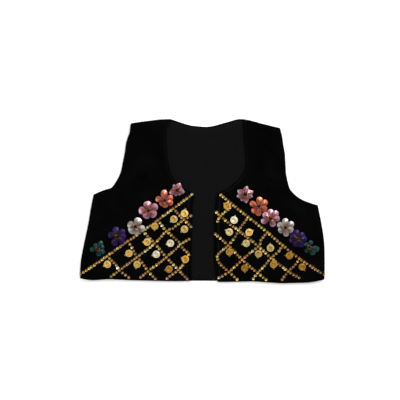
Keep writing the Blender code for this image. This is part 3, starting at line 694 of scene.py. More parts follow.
def rolled_point(flat, heights, outwards, side_roll, shoulder_roll, wall):
    """A panel's outer point and the inner one behind it, where it rolls from its body to its seams.

    The heights are the seams' and the body's, and outwards is the level way from the panel to its side seam.
    """
    turns, shown = [], 1
    for roll in (side_roll, shoulder_roll):
        turn = roll_angle(roll.distance, roll.reach)
        turns.append(math.pi / 2 - roll.fold * (math.pi / 2 - turn))
        shown *= 1 - roll.fold * (1 - math.sin(turn))
    at_seam, over_body = heights
    upwards = math.sin(turns[0]) * math.sin(turns[1]) * (1 if over_body > at_seam else -1)
    sideways = outwards * math.cos(turns[0])
    normal = Vector((sideways.x, sideways.y + math.cos(turns[1]), upwards))
    outer = Vector((flat.x, flat.y, mixed(at_seam, over_body, shown)))
    return outer, outer - normal.normalized() * wall


def front_point(side, row, share, distance, wall):
    """A front's outer and inner point on a row, at a share of its width or a distance from its side."""
    columns = (f"{side}_side", f"{side}_edge")
    outer_end, inner_end = (row_end(column, row) for column in columns)
    inset = RIM_SHARE * wall / 2
    width = (inner_end - outer_end).length
    fold = side_fold(row)
    if distance is None:
        from_side = mixed(SIDE_ROLL, width - inset, share)
    else:
        from_side = distance + inset * (1 - fold) * (1 - distance / SIDE_ROLL)
    share = from_side / width
    flat, from_shoulder = flat_point(row, columns, share, read_table(HEM_DROP[side], share))
    from_hem = flat.y - SECTIONS[0].right_edge[1]

    settled = max(fold * fade(from_side, SIDE_EASE), fade(from_shoulder, SHOULDER_EASE))
    edge = max(
        (1 - fold) * fade(from_side, EDGE_EASE),
        fade(width - from_side, EDGE_EASE),
        fade(from_hem, EDGE_EASE),
    )
    top = mixed(BODY_TOP, FOLD_TOP, settled) - (BODY_TOP - EDGE_TOP) * edge * (1 - settled)
    top += folds_height(FOLDS, flat.x, flat.y) * (1 - edge) * (1 - settled**2)
    heights = (SEAM_HEIGHT + SEAM_GAP / 2, top)
    outwards = (outer_end - inner_end).normalized()
    side_roll = Roll(from_side, SIDE_ROLL, fold)
    return rolled_point(flat, heights, outwards, side_roll, Roll(from_shoulder, SHOULDER_ROLL, 1), wall)


def back_point(row, share, from_right, from_left, wall):
    """The back's outer (lower) and inner point on a row, by a share of its width or from one side."""
    columns = ("right_side", "left_side")
    right_end, left_end = (row_end(column, row) for column in columns)
    width = (left_end - right_end).length
    fold = side_fold(row)
    inset = (ARMHOLE_INSET + RIM_SHARE * wall / 2) * (1 - fold)
    if from_right is not None:
        share = (from_right + inset * max(1 - from_right / SIDE_ROLL, 0)) / width
    elif from_left is not None:
        share = 1 - (from_left + inset * max(1 - from_left / SIDE_ROLL, 0)) / width
    else:
        share = mixed(SIDE_ROLL, width - SIDE_ROLL, share) / width
    flat, from_shoulder = flat_point(row, columns, share, BACK_HEM_DROP * math.sin(math.pi * share) ** 2)

    past_neck_point = min(flat.x - NECK_POINTS[0], NECK_POINTS[1] - flat.x)
    shoulder_fold = 1 - smooth_step(past_neck_point / NECK_EASE)
    heights = (SEAM_HEIGHT - SEAM_GAP / 2, 0)
    outwards = Vector((-1 if share < 0.5 else 1, 0))
    side_roll = Roll(min(share, 1 - share) * width, SIDE_ROLL, fold)
    shoulder_roll = Roll(from_shoulder, SHOULDER_ROLL, shoulder_fold)
    return rolled_point(flat, heights, outwards, side_roll, shoulder_roll, wall)


def rim_points(grid, wall, at, beside):
    """The points of the rounded edge at a place of the grid, whose neighbours inside it are given."""
    outer, inner = grid[at]
    middle = (outer + inner) / 2
    away = Vector((0, 0, 0))
    for place in beside:
        away += (middle - (grid[place][0] + grid[place][1]) / 2).normalized()
    away = away.normalized() * RIM_SHARE * wall / 2
    turns = [math.radians(angle) for angle in RIM_ANGLES]
    return [middle + (outer - middle) * math.cos(turn) + away * math.sin(turn) for turn in turns]


def cloth_shell(name, rows, wall, material):
    """A closed shell of cloth with rounded edges, from rows of (outer, inner) points in millimetres."""
    down, across = len(rows), len(rows[0])
    grid = {(r, c): pair for r, row in enumerate(rows) for c, pair in enumerate(row)}
    points = [grid[r, c][0] for r in range(down) for c in range(across)]
    points += [grid[r, c][1] for r in range(down) for c in range(across)]
    inner = down * across
    faces = []
    for r in range(down - 1):
        for c in range(across - 1):
            here, above = r * across + c, (r + 1) * across + c
            faces.append([here, here + 1, above + 1, above])
            faces.append([inner + above, inner + above + 1, inner + here + 1, inner + here])
    edge = [(0, c) for c in range(across - 1)] + [(r, across - 1) for r in range(down - 1)]
    edge += [(down - 1, c) for c in range(across - 1, 0, -1)] + [(r, 0) for r in range(down - 1, 0, -1)]
    strips = []
    for r, c in edge:
        beside = [(min(max(r, 1), down - 2), c)] if r in (0, down - 1) else []
        beside += [(r, min(max(c, 1), across - 2))] if c in (0, across - 1) else []
        strip = [r * across + c]
        for point in rim_points(grid, wall, (r, c), beside):
            strip.append(len(points))
            points.append(point)
        strips.append(strip + [inner + r * across + c])
    for strip, after in zip(strips, strips[1:] + strips[:1]):
        for i in range(len(strip) - 1):
            faces.append([strip[i], strip[i + 1], after[i + 1], after[i]])
    made = mesh_piece(name, [point * MM for point in points], faces, [material])
    shape = bmesh.new()
    shape.from_mesh(made.data)
    bmesh.ops.recalc_face_normals(shape, faces=shape.faces[:])
    shape.to_mesh(made.data)
    shape.free()
    lay_out(made, rows, strips, inner)
    return made


def lay_out(made, rows, strips, inner):
    """Gives a cloth shell its UV map, in metres along and across the cut cloth."""
    across = len(rows[0])
    middle = across // 2
    spots, rise = {}, {}
    for r, row in enumerate(rows):
        run = running_lengths([pair[0] for pair in row])
        for c in range(across):
            spots[r * across + c] = row[middle][0].x + run[c] - run[middle]
    for c in range(across):
        run = running_lengths([row[c][0] for row in rows])
        for r in range(len(rows)):
            rise[r * across + c] = rows[0][c][0].y + run[r]
    for i in range(inner):
        spots[inner + i], rise[inner + i] = spots[i], rise[i]
    points = [vertex.co / MM for vertex in made.data.vertices]
    for strip in strips:
        r, c = divmod(strip[0], across)
        sideways = (c == across - 1) - (c == 0)
        upwards = 0 if sideways else (r > 0) - (r == 0)
        run = 0
        for before, i in zip(strip, strip[1:-1]):
            run += (points[i] - points[before]).length
            spots[i] = spots[strip[0]] + run * sideways
            rise[i] = rise[strip[0]] + run * upwards
    layer = made.data.uv_layers.new(name="cut")
    values = []
    for loop in made.data.loops:
        values += [spots[loop.vertex_index] * MM, rise[loop.vertex_index] * MM]
    layer.data.foreach_set("uv", values)


def front_rows(side, wall):
    """The points of a front, from the side fold to its open edge and from the hem to the shoulder."""
    distances = [roll_distance(angle, SIDE_ROLL) for angle in FOLD_ANGLES]
    shares = [i / FRONT_COLUMNS for i in range(1, FRONT_COLUMNS)] + list(EDGE_SHARES) + [1]
    ways = [(0, distance) for distance in distances] + [(share, None) for share in shares]
    return [[front_point(side, row, *way, wall) for way in ways] for row in panel_rows(RIM_SHARE * wall / 2)]


def back_shares():
    """Columns across the back, with one at each neck point."""
    right, left = (row_end(column, Row(LAST, 0)) for column in ("right_side", "left_side"))
    length = (left - right).length
    ends = [0]
    for x in NECK_POINTS:
        from_right = (x - right.x) / (left.x - right.x) * length
        ends.append((from_right - SIDE_ROLL) / (length - 2 * SIDE_ROLL))
    ends.append(1)
    pairs = zip(ends, ends[1:], BACK_COLUMNS)
    return [mixed(low, high, i / n) for low, high, n in pairs for i in range(n)][1:]


def back_ways(distances):
    """How each point across the back is given: by its distance from the right or the left, or its share."""
    from_right = [(0, distance, None) for distance in distances]
    from_left = [(0, None, distance) for distance in reversed(distances)]
    return from_right + [(share, None, None) for share in back_shares()] + from_left


def back_rows(wall):
    """The points of the back, whose sides and shoulders curl up to meet the fronts."""
    ways = back_ways([roll_distance(angle, SIDE_ROLL) for angle in FOLD_ANGLES])
    return [[back_point(row, *way, wall) for way in ways] for row in panel_rows(RIM_SHARE * wall / 2)]


def lining_rows(back_wall, wall):
    """The points of the lining, which lies on the back from just inside the hem to inside the neck."""
    inset = LINING_INSET + RIM_SHARE * wall / 2
    places = [i / LINING_STEPS for i in range(1, LINING_STEPS * (LAST - 1) + 1)]
    rows = [Row(place, None) for place in (inset / HEM_SECTION, *places, LAST)]
    ways = back_ways([LINING_SIDE_INSET])
    return [[raised(lining_point(row, way, inset, back_wall), wall) for way in ways] for row in rows]


def lining_point(row, way, inset, back_wall):
    """A point of the back under the lining. The last row stops short of the neck and the shoulder fold."""
    if row.place == LAST:
        outer, _ = back_point(Row(LAST, 0), *way, back_wall)
        at_neck = NECK_POINTS[0] <= outer.x <= NECK_POINTS[1]
        row = Row(LAST, inset if at_neck else SHOULDER_ROLL)
    return back_point(row, *way, back_wall)


def raised(pair, wall):
    """A layer of lining on the inner point of the back's wall, a gap away from it, with its waves."""
    away = (pair[1] - pair[0]).normalized()
    lift = SEAM_GAP + max(folds_height(LINING_FOLDS, pair[1].x, pair[1].y), -SEAM_GAP / 2)
    return pair[1] + away * (lift + wall), pair[1] + away * lift


def wave_scale(spacing):
    """The scale at which a wave texture's bands lie that far apart."""
    return math.pi / (10 * spacing)


NAP_PATCH = 38.46 * MM  # across a stretch of pile that is brushed one way
SLUB_SPACING = 16.67 * MM
SLUB_SHADES = (0.75, 1.25)  # the lining's colour between its slubs and on them


def velvet(settings):
    """Cotton velvet, woven and cut: a short dense pile that swallows light and gleams only aslant."""
    material, add, place = new_material("cotton velvet", "UV")
    brushed = add("ShaderNodeTexNoise", vector=place, scale=1 / NAP_PATCH, detail=3.0, roughness=0.55)
    tufts = add("ShaderNodeTexNoise", vector=place, scale=1 / settings.pile_spacing, detail=2.0)
    nap = add("ShaderNodeMapRange", value=brushed, from_min=0.35, from_max=0.7)
    down, up = (*settings.velvet_colour, 1), (*settings.nap_colour, 1)
    colour = add("ShaderNodeMix", {"data_type": "RGBA"}, _0=nap, _6=down, _7=up)
    lift = add("ShaderNodeMath", {"operation": "MULTIPLY"}, _0=brushed, _1=2.0)
    height = add("ShaderNodeMath", {"operation": "ADD"}, _0=lift, _1=tufts)
    bump = {"height": height, "strength": 0.5, "distance": 0.25 * MM}
    sheen = {"sheen_weight": 0.015, "sheen_roughness": 0.4}
    finished(add, bump, base_color=colour.outputs[2], roughness=0.92, specular_ior_level=0.02, **sheen)
    return material


def lining_cloth(settings):
    """Plain-woven viscose lining: fine crossed threads with a low, even gloss."""
    material, add, place = new_material("viscose lining", "UV")
    wave = {"vector": place, "scale": wave_scale(settings.thread_spacing), "distortion": 0.4, "detail": 1.0}
    warp, weft = (
        add("ShaderNodeTexWave", {"bands_direction": way}, **wave).outputs[1] for way in "XY"
    )
    weave = add("ShaderNodeMath", {"operation": "MULTIPLY"}, _0=warp, _1=weft)
    slubs = add("ShaderNodeTexNoise", vector=place, scale=1 / SLUB_SPACING, detail=4.0)
    dark, light = ((*[value * share for value in settings.lining_colour], 1) for share in SLUB_SHADES)
    shade = add("ShaderNodeMix", {"data_type": "RGBA"}, _0=slubs, _6=dark, _7=light)
    bump = {"height": weave, "strength": 0.5, "distance": 0.15 * MM}
    finished(add, bump, base_color=shade.outputs[2], roughness=0.6, specular_ior_level=0.025)
    return material


def known_material(name, make, *settings):
    """The material of that name, made once."""
    return bpy.data.materials.get(name) or make(*settings)


# What each panel was cut to before it was sewn: width and length over the whole cut and its area, in
# metres and square metres.
Cut = namedtuple("Cut", "width length area")


def dressed(made, body, slot, *nodes):
    """Attaches a finished piece to the body that it rides on and hides the solids that it stands for. The
    slot, its finish, is not used.
    """
    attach(made, body)
    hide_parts(*nodes)


class VEST_OT_back(bpy.types.Operator):
    """Makes the back's velvet, laid face down with its sides and shoulders curled up."""

    bl_idname = "vest.back"
    bl_label = "Back"

    def execute(self, context):
        settings = context.scene.vest_cloth
        wall = settings.back_wall / MM
        material = known_material("cotton velvet", velvet, settings)
        made = cloth_shell("velvet_back", back_rows(wall), wall, material)
        dressed(made, "vest", "velvet", "back")
        return {"FINISHED"}


class VEST_OT_lining(bpy.types.Operator):
    """Makes the lining on the inside of the back."""

    bl_idname = "vest.lining"
    bl_label = "Lining"

    def execute(self, context):
        settings = context.scene.vest_cloth
        wall = settings.lining_wall / MM
        rows = lining_rows(settings.back_wall / MM, wall)
        made = cloth_shell("lining_back", rows, wall, lining_cloth(settings))
        dressed(made, "vest", "lining", "back_lining")
        return {"FINISHED"}


class VEST_OT_fronts(bpy.types.Operator):
    """Makes the two velvet fronts with their soft folds."""

    bl_idname = "vest.fronts"
    bl_label = "Fronts"

    def execute(self, context):
        settings = context.scene.vest_cloth
        wall = settings.front_wall / MM
        material = known_material("cotton velvet", velvet, settings)
        for side in ("right", "left"):
            made = cloth_shell(f"velvet_front_{side}", front_rows(side, wall), wall, material)
            dressed(made, "vest", "velvet", f"front_{side}")
        return {"FINISHED"}


# Sequins


TONES = {
    "gold": linear("#917440"),
    "bright": linear("#b59d58"),
    "copper": linear("#885c42"),
    "rose": linear("#a37b68"),
    "pale": linear("#b3a881"),
    "bronze": linear("#6a5233"),
    "white": linear("#fbf8ee"),
    "clear": linear("#b0b1a4"),
    "amber": linear("#a3702a"),
}
# How often each tone comes along the strings: over the front, near its lower outer corner, near the
# lower inner one and where two strings cross
TONE_SHARES = {
    "over": {"gold": 8, "bright": 4, "copper": 2, "pale": 2, "bronze": 3},
    "outer": {"gold": 7, "bright": 3, "copper": 3, "bronze": 4},
    "inner": {"gold": 7, "bright": 4, "copper": 4, "rose": 1, "pale": 2},
    "crossing": {"amber": 4, "gold": 2, "bright": 1},
}
CORNER_TOP = -80.0  # the corners' shares hold below this line
INNER_LIMIT = 90.0  # and the inner one's within this distance from the middle

# Sequins given white, clear or pale tones at listed places: painted glints, lighter than the film's own
# tones
Glint = namedtuple("Glint", "x y tone")
GLINTS = (Glint(-133, -105.2, "white"), Glint(-66.5, -38.8, "clear"), Glint(56.1, -47, "pale"))
GLINT_REACH = 2.7

FILM = 0.08 * MM  # the sequins' film, thicker than real so that it prints
SEQUIN_SIDES = 12
# The rings of a sequin's dish, from its edge: the width as a share of the diameter, and the drop as a
# share of the depth
DISH_RINGS = ((0.05, 0.1), (0.2, 0.75), (0.14, 0.15))
SEQUIN_LIFT = 0.1 * MM
SEQUIN_WEAR = (0.75, 1.1)  # how far a sequin's tone may fall or rise
SEQUIN_SEED = 7
BEAD_TONES = ("gold", "bright", "bright", "pale")
BEAD_HEIGHT = 0.8  # as a share of its width, as are the radii of its ring and of the glass
BEAD_RING = 0.27
BEAD_GLASS = 0.23
BEAD_SIDES = 8
BEAD_ROUND = 5
PATH_STEPS = 48
BENDS = "12"  # how the names of mere bends end
PEEL_GRAIN = 1.1111 * MM  # coarser than real so that it shows, as is the clouding of the bead glass
CLOUD_GRAIN = 1.4286 * MM


def sequin(settings):
    """One cup sequin of thin film, dished, with a hole in its middle. Its origin is under its middle."""
    start_modelling()
    bpy.ops.mesh.primitive_circle_add(
        vertices=SEQUIN_SIDES,
        radius=settings.diameter / 2,
        fill_type="NGON",
        location=(0, 0, settings.cup_depth),
    )
    made = bpy.context.object
    edit_all()
    for width, drop in DISH_RINGS:
        bpy.ops.mesh.inset(thickness=settings.diameter * width, depth=-settings.cup_depth * drop)
    bpy.ops.mesh.delete(type="FACE")
    bpy.ops.object.mode_set(mode="OBJECT")
    apply_modifier(made, "SOLIDIFY", thickness=FILM, offset=1)
    return taken_mesh(made)


def bead(diameter, height):
    """One seed bead, a fat ring of glass standing on its origin."""
    start_modelling()
    bpy.ops.mesh.primitive_torus_add(
        major_segments=BEAD_SIDES,
        minor_segments=BEAD_ROUND,
        major_radius=diameter * BEAD_RING,
        minor_radius=diameter * BEAD_GLASS,
    )
    made = bpy.context.object
    edit_all()
    upwards = height / (2 * BEAD_GLASS * diameter)
    bpy.ops.transform.resize(value=(1, 1, upwards), center_override=(0, 0, 0))
    bpy.ops.transform.translate(value=(0, 0, height / 2))
    bpy.ops.object.mode_set(mode="OBJECT")
    return taken_mesh(made)


def string_spots(side, pitch):
    """Each sequin of a front's strings: where it sits, which way its string runs, and if two cross there."""
    spots, taken = [], set()
    for names in STRINGS:
        points = [KNOTS[side][name] for name in names]
        last = len(points) - 1
        stops = [i for i, name in enumerate(names) if name[-1] not in BENDS]
        for start, stop in zip(stops, stops[1:]):
            steps = PATH_STEPS * (stop - start)
            path = [curve_point(points, start + s / PATH_STEPS, 0, last) for s in range(steps + 1)]
            runs = running_lengths(path)
            count = round(runs[-1] / pitch)
            for n in range(count + 1):
                knot = names[start] if n == 0 else names[stop] if n == count else ""
                if knot in taken:
                    continue
                if knot:
                    taken.add(knot)
                step = min(int(np.searchsorted(runs, runs[-1] * n / count)), steps)
                run = path[min(step + 1, steps)] - path[max(step - 1, 0)]
                spots.append((path[step], run, knot.isalpha()))
    return spots


def cloth_surface(name):
    """A finished piece's surface, in metres, for finding what lies under a point."""
    mesh = bpy.data.objects[name].data
    points = [vertex.co for vertex in mesh.vertices]
    return BVHTree.FromPolygons(points, [list(polygon.vertices) for polygon in mesh.polygons])


def on_cloth(surface, spot):
    """The point of a surface under a spot in millimetres, and its upward normal."""
    point, normal, _, _ = surface.ray_cast(Vector((spot.x * MM, spot.y * MM, 1)), Vector((0, 0, -1)))
    return point, normal if normal.z > 0 else -normal


def frame_on(point, normal, forward):
    """The place of a thing standing on a point along a normal, its +X as near to forward as may be."""
    up = normal.normalized()
    along = (forward - up * forward.dot(up)).normalized()
    turn = Matrix((along, up.cross(along), up)).transposed()
    return Matrix.Translation(point) @ turn.to_4x4()


def sequin_tone(spot, crossing, draw):
    """The tone of the sequin at a spot."""
    # a sequin near a listed place takes a light tone as a painted glint
    for glint in GLINTS:
        if (Vector((glint.x, glint.y)) - spot).length < GLINT_REACH:
            return glint.tone
    place = "over"
    if crossing:
        place = "crossing"
    elif spot.y < CORNER_TOP:
        place = "inner" if abs(spot.x) < INNER_LIMIT else "outer"
    shares = TONE_SHARES[place]
    return draw.choices(list(shares), weights=list(shares.values()))[0]


def tilted(draw, most):
    """A small random lean."""
    lean = draw.uniform(0, most)
    way = draw.uniform(0, 2 * math.pi)
    return Matrix.Rotation(lean, 4, (math.cos(way), math.sin(way), 0))


def metallised_film():
    """Polyester film with a metal coat, stamped to a dish: a bright mirror with a faint orange peel."""
    material, add, place = new_material("metallised film", "Object")
    tone = add("ShaderNodeAttribute", {"attribute_name": "shade"})
    peel = add("ShaderNodeTexNoise", vector=place, scale=1 / PEEL_GRAIN, detail=2.0)
    bump = {"height": peel, "strength": 0.4, "distance": 0.12 * MM}
    finished(add, bump, base_color=tone, metallic=1.0, roughness=0.3)
    return material


def bead_glass():
    """Silver-lined glass seed bead: a tinted, fire-polished gloss over a bright core."""
    material, add, place = new_material("seed bead glass", "Object")
    tone = add("ShaderNodeAttribute", {"attribute_name": "shade"})
    cloud = add("ShaderNodeTexNoise", vector=place, scale=1 / CLOUD_GRAIN, detail=1.0)
    core = add("ShaderNodeMapRange", value=cloud, to_min=0.2, to_max=0.8)
    finished(add, base_color=tone, metallic=core, roughness=0.16, coat_weight=0.6, coat_roughness=0.06)
    return material


class VEST_OT_sequins(bpy.types.Operator):
    """Strings the cup sequins and their seed beads in a diamond trellis over each front."""

    bl_idname = "vest.sequins"
    bl_label = "Sequins"

    def execute(self, context):
        settings = context.scene.vest_sequins
        cup = sequin(settings)
        seed = bead(settings.bead_diameter, settings.bead_diameter * BEAD_HEIGHT)
        materials = [metallised_film(), known_material("seed bead glass", bead_glass)]
        draw = random.Random(SEQUIN_SEED)
        for side in ("right", "left"):
            surface = cloth_surface(f"velvet_front_{side}")
            copies = []
            for spot, run, crossing in string_spots(side, settings.pitch / MM):
                point, normal = on_cloth(surface, spot)
                base = frame_on(point + normal * SEQUIN_LIFT, normal, run.to_3d())
                tone = TONES[sequin_tone(spot, crossing, draw)]
                spin = Matrix.Rotation(draw.uniform(0, math.pi), 4, "Z")
                tone_shift = draw.uniform(*SEQUIN_WEAR)
                colour = tuple(min(value * tone_shift, 1) for value in tone)
                place = base @ tilted(draw, settings.most_tilt) @ spin
                copies.append(Copy(cup, place, (colour,), 0))
                copies.append(Copy(seed, place, (TONES[draw.choice(BEAD_TONES)],), 1))
            made = joined_piece(f"sequins_{side}", copies, materials)
            dressed(made, "vest", "sequins", f"trellis_{side}")
        return {"FINISHED"}


# Coins


# The coins' colours, in the middle and at the rim, and which coins have them. Each rim is lighter than its
# middle as a painted highlight, the near-white coins carry painted glare, and some are a darker brown.
CoinTone = namedtuple("CoinTone", "middle rim")
COIN_TONES = {
    "glare_white": CoinTone("#cdc09b", "#eae2ca"),
    "pale": CoinTone("#bfa968", "#decf9c"),
    "mixed": CoinTone("#b18b3a", "#d6c490"),
    "bright": CoinTone("#cba141", "#dfc683"),
    "gold": CoinTone("#b98633", "#cda659"),
    "dull": CoinTone("#a07029", "#b1873d"),
}
COIN_FINISHES = {
    "right": (
        "bright", "bright", "bright", "bright", "bright", "mixed",
        "bright", "mixed", "glare_white", "glare_white", "gold", "dull",
    ),
    "left": (
        "gold", "glare_white", "pale", "bright", "pale", "mixed",
        "mixed", "gold", "dull", "gold", "dull", "dull",
    ),
}
COIN_SIDES = 48
COIN_MIDDLE = 7.7 * MM  # from the pivot
RIM_WIDTH = 0.65 * MM
FIELD_WIDTH = 1.1 * MM
RING_WIDTH = 0.7 * RIM_WIDTH  # the raised ring about the middle
RELIEF_SLOPE = 0.8  # how wide a slope of the relief is beside the relief's depth
RIM_BEADS = 26
RIM_BEAD_RADIUS = 0.24 * MM
RIM_BEAD_HEIGHT = 0.8 * RIM_BEAD_RADIUS
RIM_BEAD_INSET = 1.4 * RIM_BEAD_RADIUS
PETAL_MARKS = 8
MARK_REACH = 1.105 * MM  # the petal marks lie this far from the coin's middle
MARK_RADIUS = 0.38 * MM
MARK_STRETCH = 1.7
MARK_HEIGHT = 0.9  # as a share of the relief, like the hub's
HUB_RADIUS = 0.6 * MM
HUB_HEIGHT = 1.1
LOOP_PLACE = 1.2 * MM
LOOP_RADIUS = 0.9 * MM
LOOP_WIRE = 0.35 * MM
TAB_START = 0.9  # the tab springs from the rim where it is this share of the radius from the middle
TAB_REACH = 1.3 * MM
TAB_TAPER = (0.1, 0.42, 0.7)  # what the tab's end keeps of the rim's curve, of its width and thickness
THREAD_RING = 1.05 * MM
THREAD_RADIUS = 0.15 * MM
THREAD_PLACES = (-0.2 * MM, 0.0, 0.2 * MM)
THREAD_LEAN = 0.6  # how much of its angle off the loop's middle a turn of thread leans by
THREAD_PLY = 0.5 * MM
THREAD_SHADOW = 0.6  # the thread's colour between its plies
STAIN_SIZE = 4.1667 * MM


def stamped_face(made, upward, relief):
    """Sinks the field of one face of a coin between its rim and a raised ring in its middle."""
    select_faces(made, lambda face: face.normal.z * upward > LEVEL)
    slope = relief * RELIEF_SLOPE
    into_field = [(RIM_WIDTH, 0), (slope, -relief), (FIELD_WIDTH, 0)]
    over_ring = [(slope, slope), (RING_WIDTH, 0), (slope, -slope)]
    for width, rise in into_field + over_ring:
        bpy.ops.mesh.inset(thickness=width, depth=rise)


def dome(radius, height, location, stretch=1.0, turn=0.0):
    """Adds a flattened ball, which may be stretched away from the coin's middle."""
    bpy.ops.mesh.primitive_uv_sphere_add(segments=8, ring_count=6, radius=radius, location=location)
    ball = bpy.context.object
    ball.scale = (stretch, 1, height / radius)
    ball.rotation_euler.z = turn
    return ball


def around(count, reach, height):
    """Evenly spaced places round the middle of a coin, each with its turn."""
    for i in range(count):
        turn = 2 * math.pi * i / count
        yield turn, (COIN_MIDDLE + reach * math.cos(turn), reach * math.sin(turn), height)


def coin(settings):
    """One stamped coin, lying along +X from the hinge at its sewing loop, with relief on both faces."""
    start_modelling()
    bpy.ops.mesh.primitive_cylinder_add(
        vertices=COIN_SIDES, radius=settings.radius, depth=settings.wall, location=(COIN_MIDDLE, 0, 0)
    )
    made = bpy.context.object
    bpy.ops.object.transform_apply(location=True)
    bpy.ops.object.mode_set(mode="EDIT")
    for upward in (1, -1):
        stamped_face(made, upward, settings.relief)
    start = COIN_MIDDLE - settings.radius * TAB_START
    select_faces(made, lambda face: face.calc_center_median().x < start and abs(face.normal.z) < UPRIGHT)
    bpy.ops.mesh.extrude_region_move(TRANSFORM_OT_translate={"value": (-TAB_REACH, 0, 0)})
    bpy.ops.transform.resize(value=TAB_TAPER, center_override=(LOOP_PLACE + LOOP_RADIUS, 0, 0))
    bpy.ops.object.mode_set(mode="OBJECT")
    parts = [made]
    bpy.ops.mesh.primitive_torus_add(
        major_segments=20,
        minor_segments=8,
        major_radius=LOOP_RADIUS,
        minor_radius=LOOP_WIRE,
        location=(LOOP_PLACE, 0, 0),
    )
    parts.append(bpy.context.object)
    field = settings.wall / 2 - settings.relief
    ring = settings.radius - RIM_WIDTH - settings.relief - RIM_BEAD_INSET
    for height in (field, -field):
        for _, spot in around(RIM_BEADS, ring, height):
            parts.append(dome(RIM_BEAD_RADIUS, RIM_BEAD_HEIGHT, spot))
        for turn, spot in around(PETAL_MARKS, MARK_REACH, height):
            parts.append(dome(MARK_RADIUS, settings.relief * MARK_HEIGHT, spot, MARK_STRETCH, turn))
        parts.append(dome(HUB_RADIUS, settings.relief * HUB_HEIGHT, (COIN_MIDDLE, 0, height)))
    start_modelling()
    for part in parts:
        part.select_set(True)
    bpy.context.view_layer.objects.active = made
    bpy.ops.object.join()
    mesh = in_order(taken_mesh(made))
    middle = Vector((COIN_MIDDLE, 0))
    mark(mesh, "along", lambda point: (point.xy - middle).length / settings.radius)
    mark(mesh, "rib", lambda point: (abs(point.z) - field) / settings.relief)
    return mesh


def hinge_place(joint):
    """Where a coin's own frame lies: its pivot, its hinge along -Y and its middle along +X."""
    pivot = Vector(joint["pos_m"])
    hinge = Vector(joint["axis"]).normalized()
    low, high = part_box(joint["child"])
    outward = (Vector(low) + Vector(high)) / 2 - pivot
    along = (outward - hinge * outward.dot(hinge)).normalized()
    turn = Matrix((along, -hinge, along.cross(-hinge))).transposed()
    return Matrix.Translation(pivot) @ turn.to_4x4()


def stamped_brass():
    """Thin stamped brass, plated and rubbed: bright on the raised parts, darker in the hollows with brown
    tarnish and painted shade.
    """
    material, add, place = new_material("stamped brass", "Object")
    tone = add("ShaderNodeAttribute", {"attribute_name": "shade"})
    relief = add("ShaderNodeAttribute", {"attribute_name": "rib"}).outputs["Fac"]
    stains = add("ShaderNodeTexNoise", vector=place, scale=1 / STAIN_SIZE, detail=4.0)
    # low relief darkens the colour: tarnish together with painted shade in the hollows
    wear_and_shade = add("ShaderNodeMath", {"operation": "MULTIPLY_ADD"}, _0=stains, _1=0.7, _2=relief)
    bright = add("ShaderNodeMapRange", value=wear_and_shade, from_min=0.1, from_max=0.8, to_min=0.34, to_max=1.0)
    rough = add("ShaderNodeMapRange", value=wear_and_shade, from_min=0.1, from_max=0.9, to_min=0.55, to_max=0.33)
    multiply = {"data_type": "RGBA", "blend_type": "MULTIPLY"}
    colour = add("ShaderNodeMix", multiply, _0=1.0, _6=tone, _7=bright)
    bump = {"height": stains, "strength": 0.3, "distance": 0.05 * MM}
    finished(add, bump, base_color=colour.outputs[2], metallic=1.0, roughness=rough)
    return material


def coin_joints():
    """The hinge of each coin, by the coin's node."""
    return {joint["child"]: joint for joint in frame["joints"]}


class VEST_OT_coins(bpy.types.Operator):
    """Stamps one coin and hangs a copy at each hinge."""

    bl_idname = "vest.coins"
    bl_label = "Coins"

    def execute(self, context):
        master = coin(context.scene.vest_coins)
        brass = stamped_brass()
        joints = coin_joints()
        for side, finishes in COIN_FINISHES.items():
            for number, finish in enumerate(finishes, 1):
                node = f"coin_{side}_{number:02d}"
                tone = COIN_TONES[finish]
                # the rim's lighter tone is a painted highlight
                colours = (linear(tone.middle), linear(tone.middle), linear(tone.rim))
                copy = Copy(master, hinge_place(joints[node]), colours, 0)
                made = joined_piece(f"stamped_{node}", [copy], [brass])
                dressed(made, node, "coin", node)
        return {"FINISHED"}


def polyester_thread(settings):
    """Twisted polyester thread: a soft gloss with the ply's slanting ridges."""
    material, add, place = new_material("polyester thread", "Object")
    wave = {"vector": place, "scale": wave_scale(THREAD_PLY), "distortion": 1.0}
    ply = add("ShaderNodeTexWave", {"bands_direction": "DIAGONAL"}, **wave).outputs[1]
    dark, light = ((*[v * share for v in settings.thread_colour], 1) for share in (THREAD_SHADOW, 1))
    shade = add("ShaderNodeMix", {"data_type": "RGBA"}, _0=ply, _6=dark, _7=light)
    bump = {"height": ply, "strength": 0.6, "distance": 0.06 * MM}
    finished(add, bump, base_color=shade.outputs[2], roughness=0.5, sheen_weight=0.1)
    return material


class VEST_OT_coin_threads(bpy.types.Operator):
    """Sews each coin to the cloth with turns of thread through its loop, round the hinge."""

    bl_idname = "vest.coin_threads"
    bl_label = "Coin Threads"

    def execute(self, context):
        start_modelling()
        bpy.ops.mesh.primitive_torus_add(
            major_segments=16,
            minor_segments=6,
            major_radius=THREAD_RING,
            minor_radius=THREAD_RADIUS,
            rotation=(math.pi / 2, 0, 0),
        )
        turn = taken_mesh(bpy.context.object)
        copies = []
        for joint in coin_joints().values():
            place = hinge_place(joint)
            for across in THREAD_PLACES:
                shift = Matrix.Translation((0, across, 0))
                lean = Matrix.Rotation(across / THREAD_RING * THREAD_LEAN, 4, "Z")
                copies.append(Copy(turn, place @ shift @ lean, ((1, 1, 1),), 0))
        made = joined_piece("coin_threads", copies, [polyester_thread(context.scene.vest_coins)])
        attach(made, "vest")
        return {"FINISHED"}


# Flowers


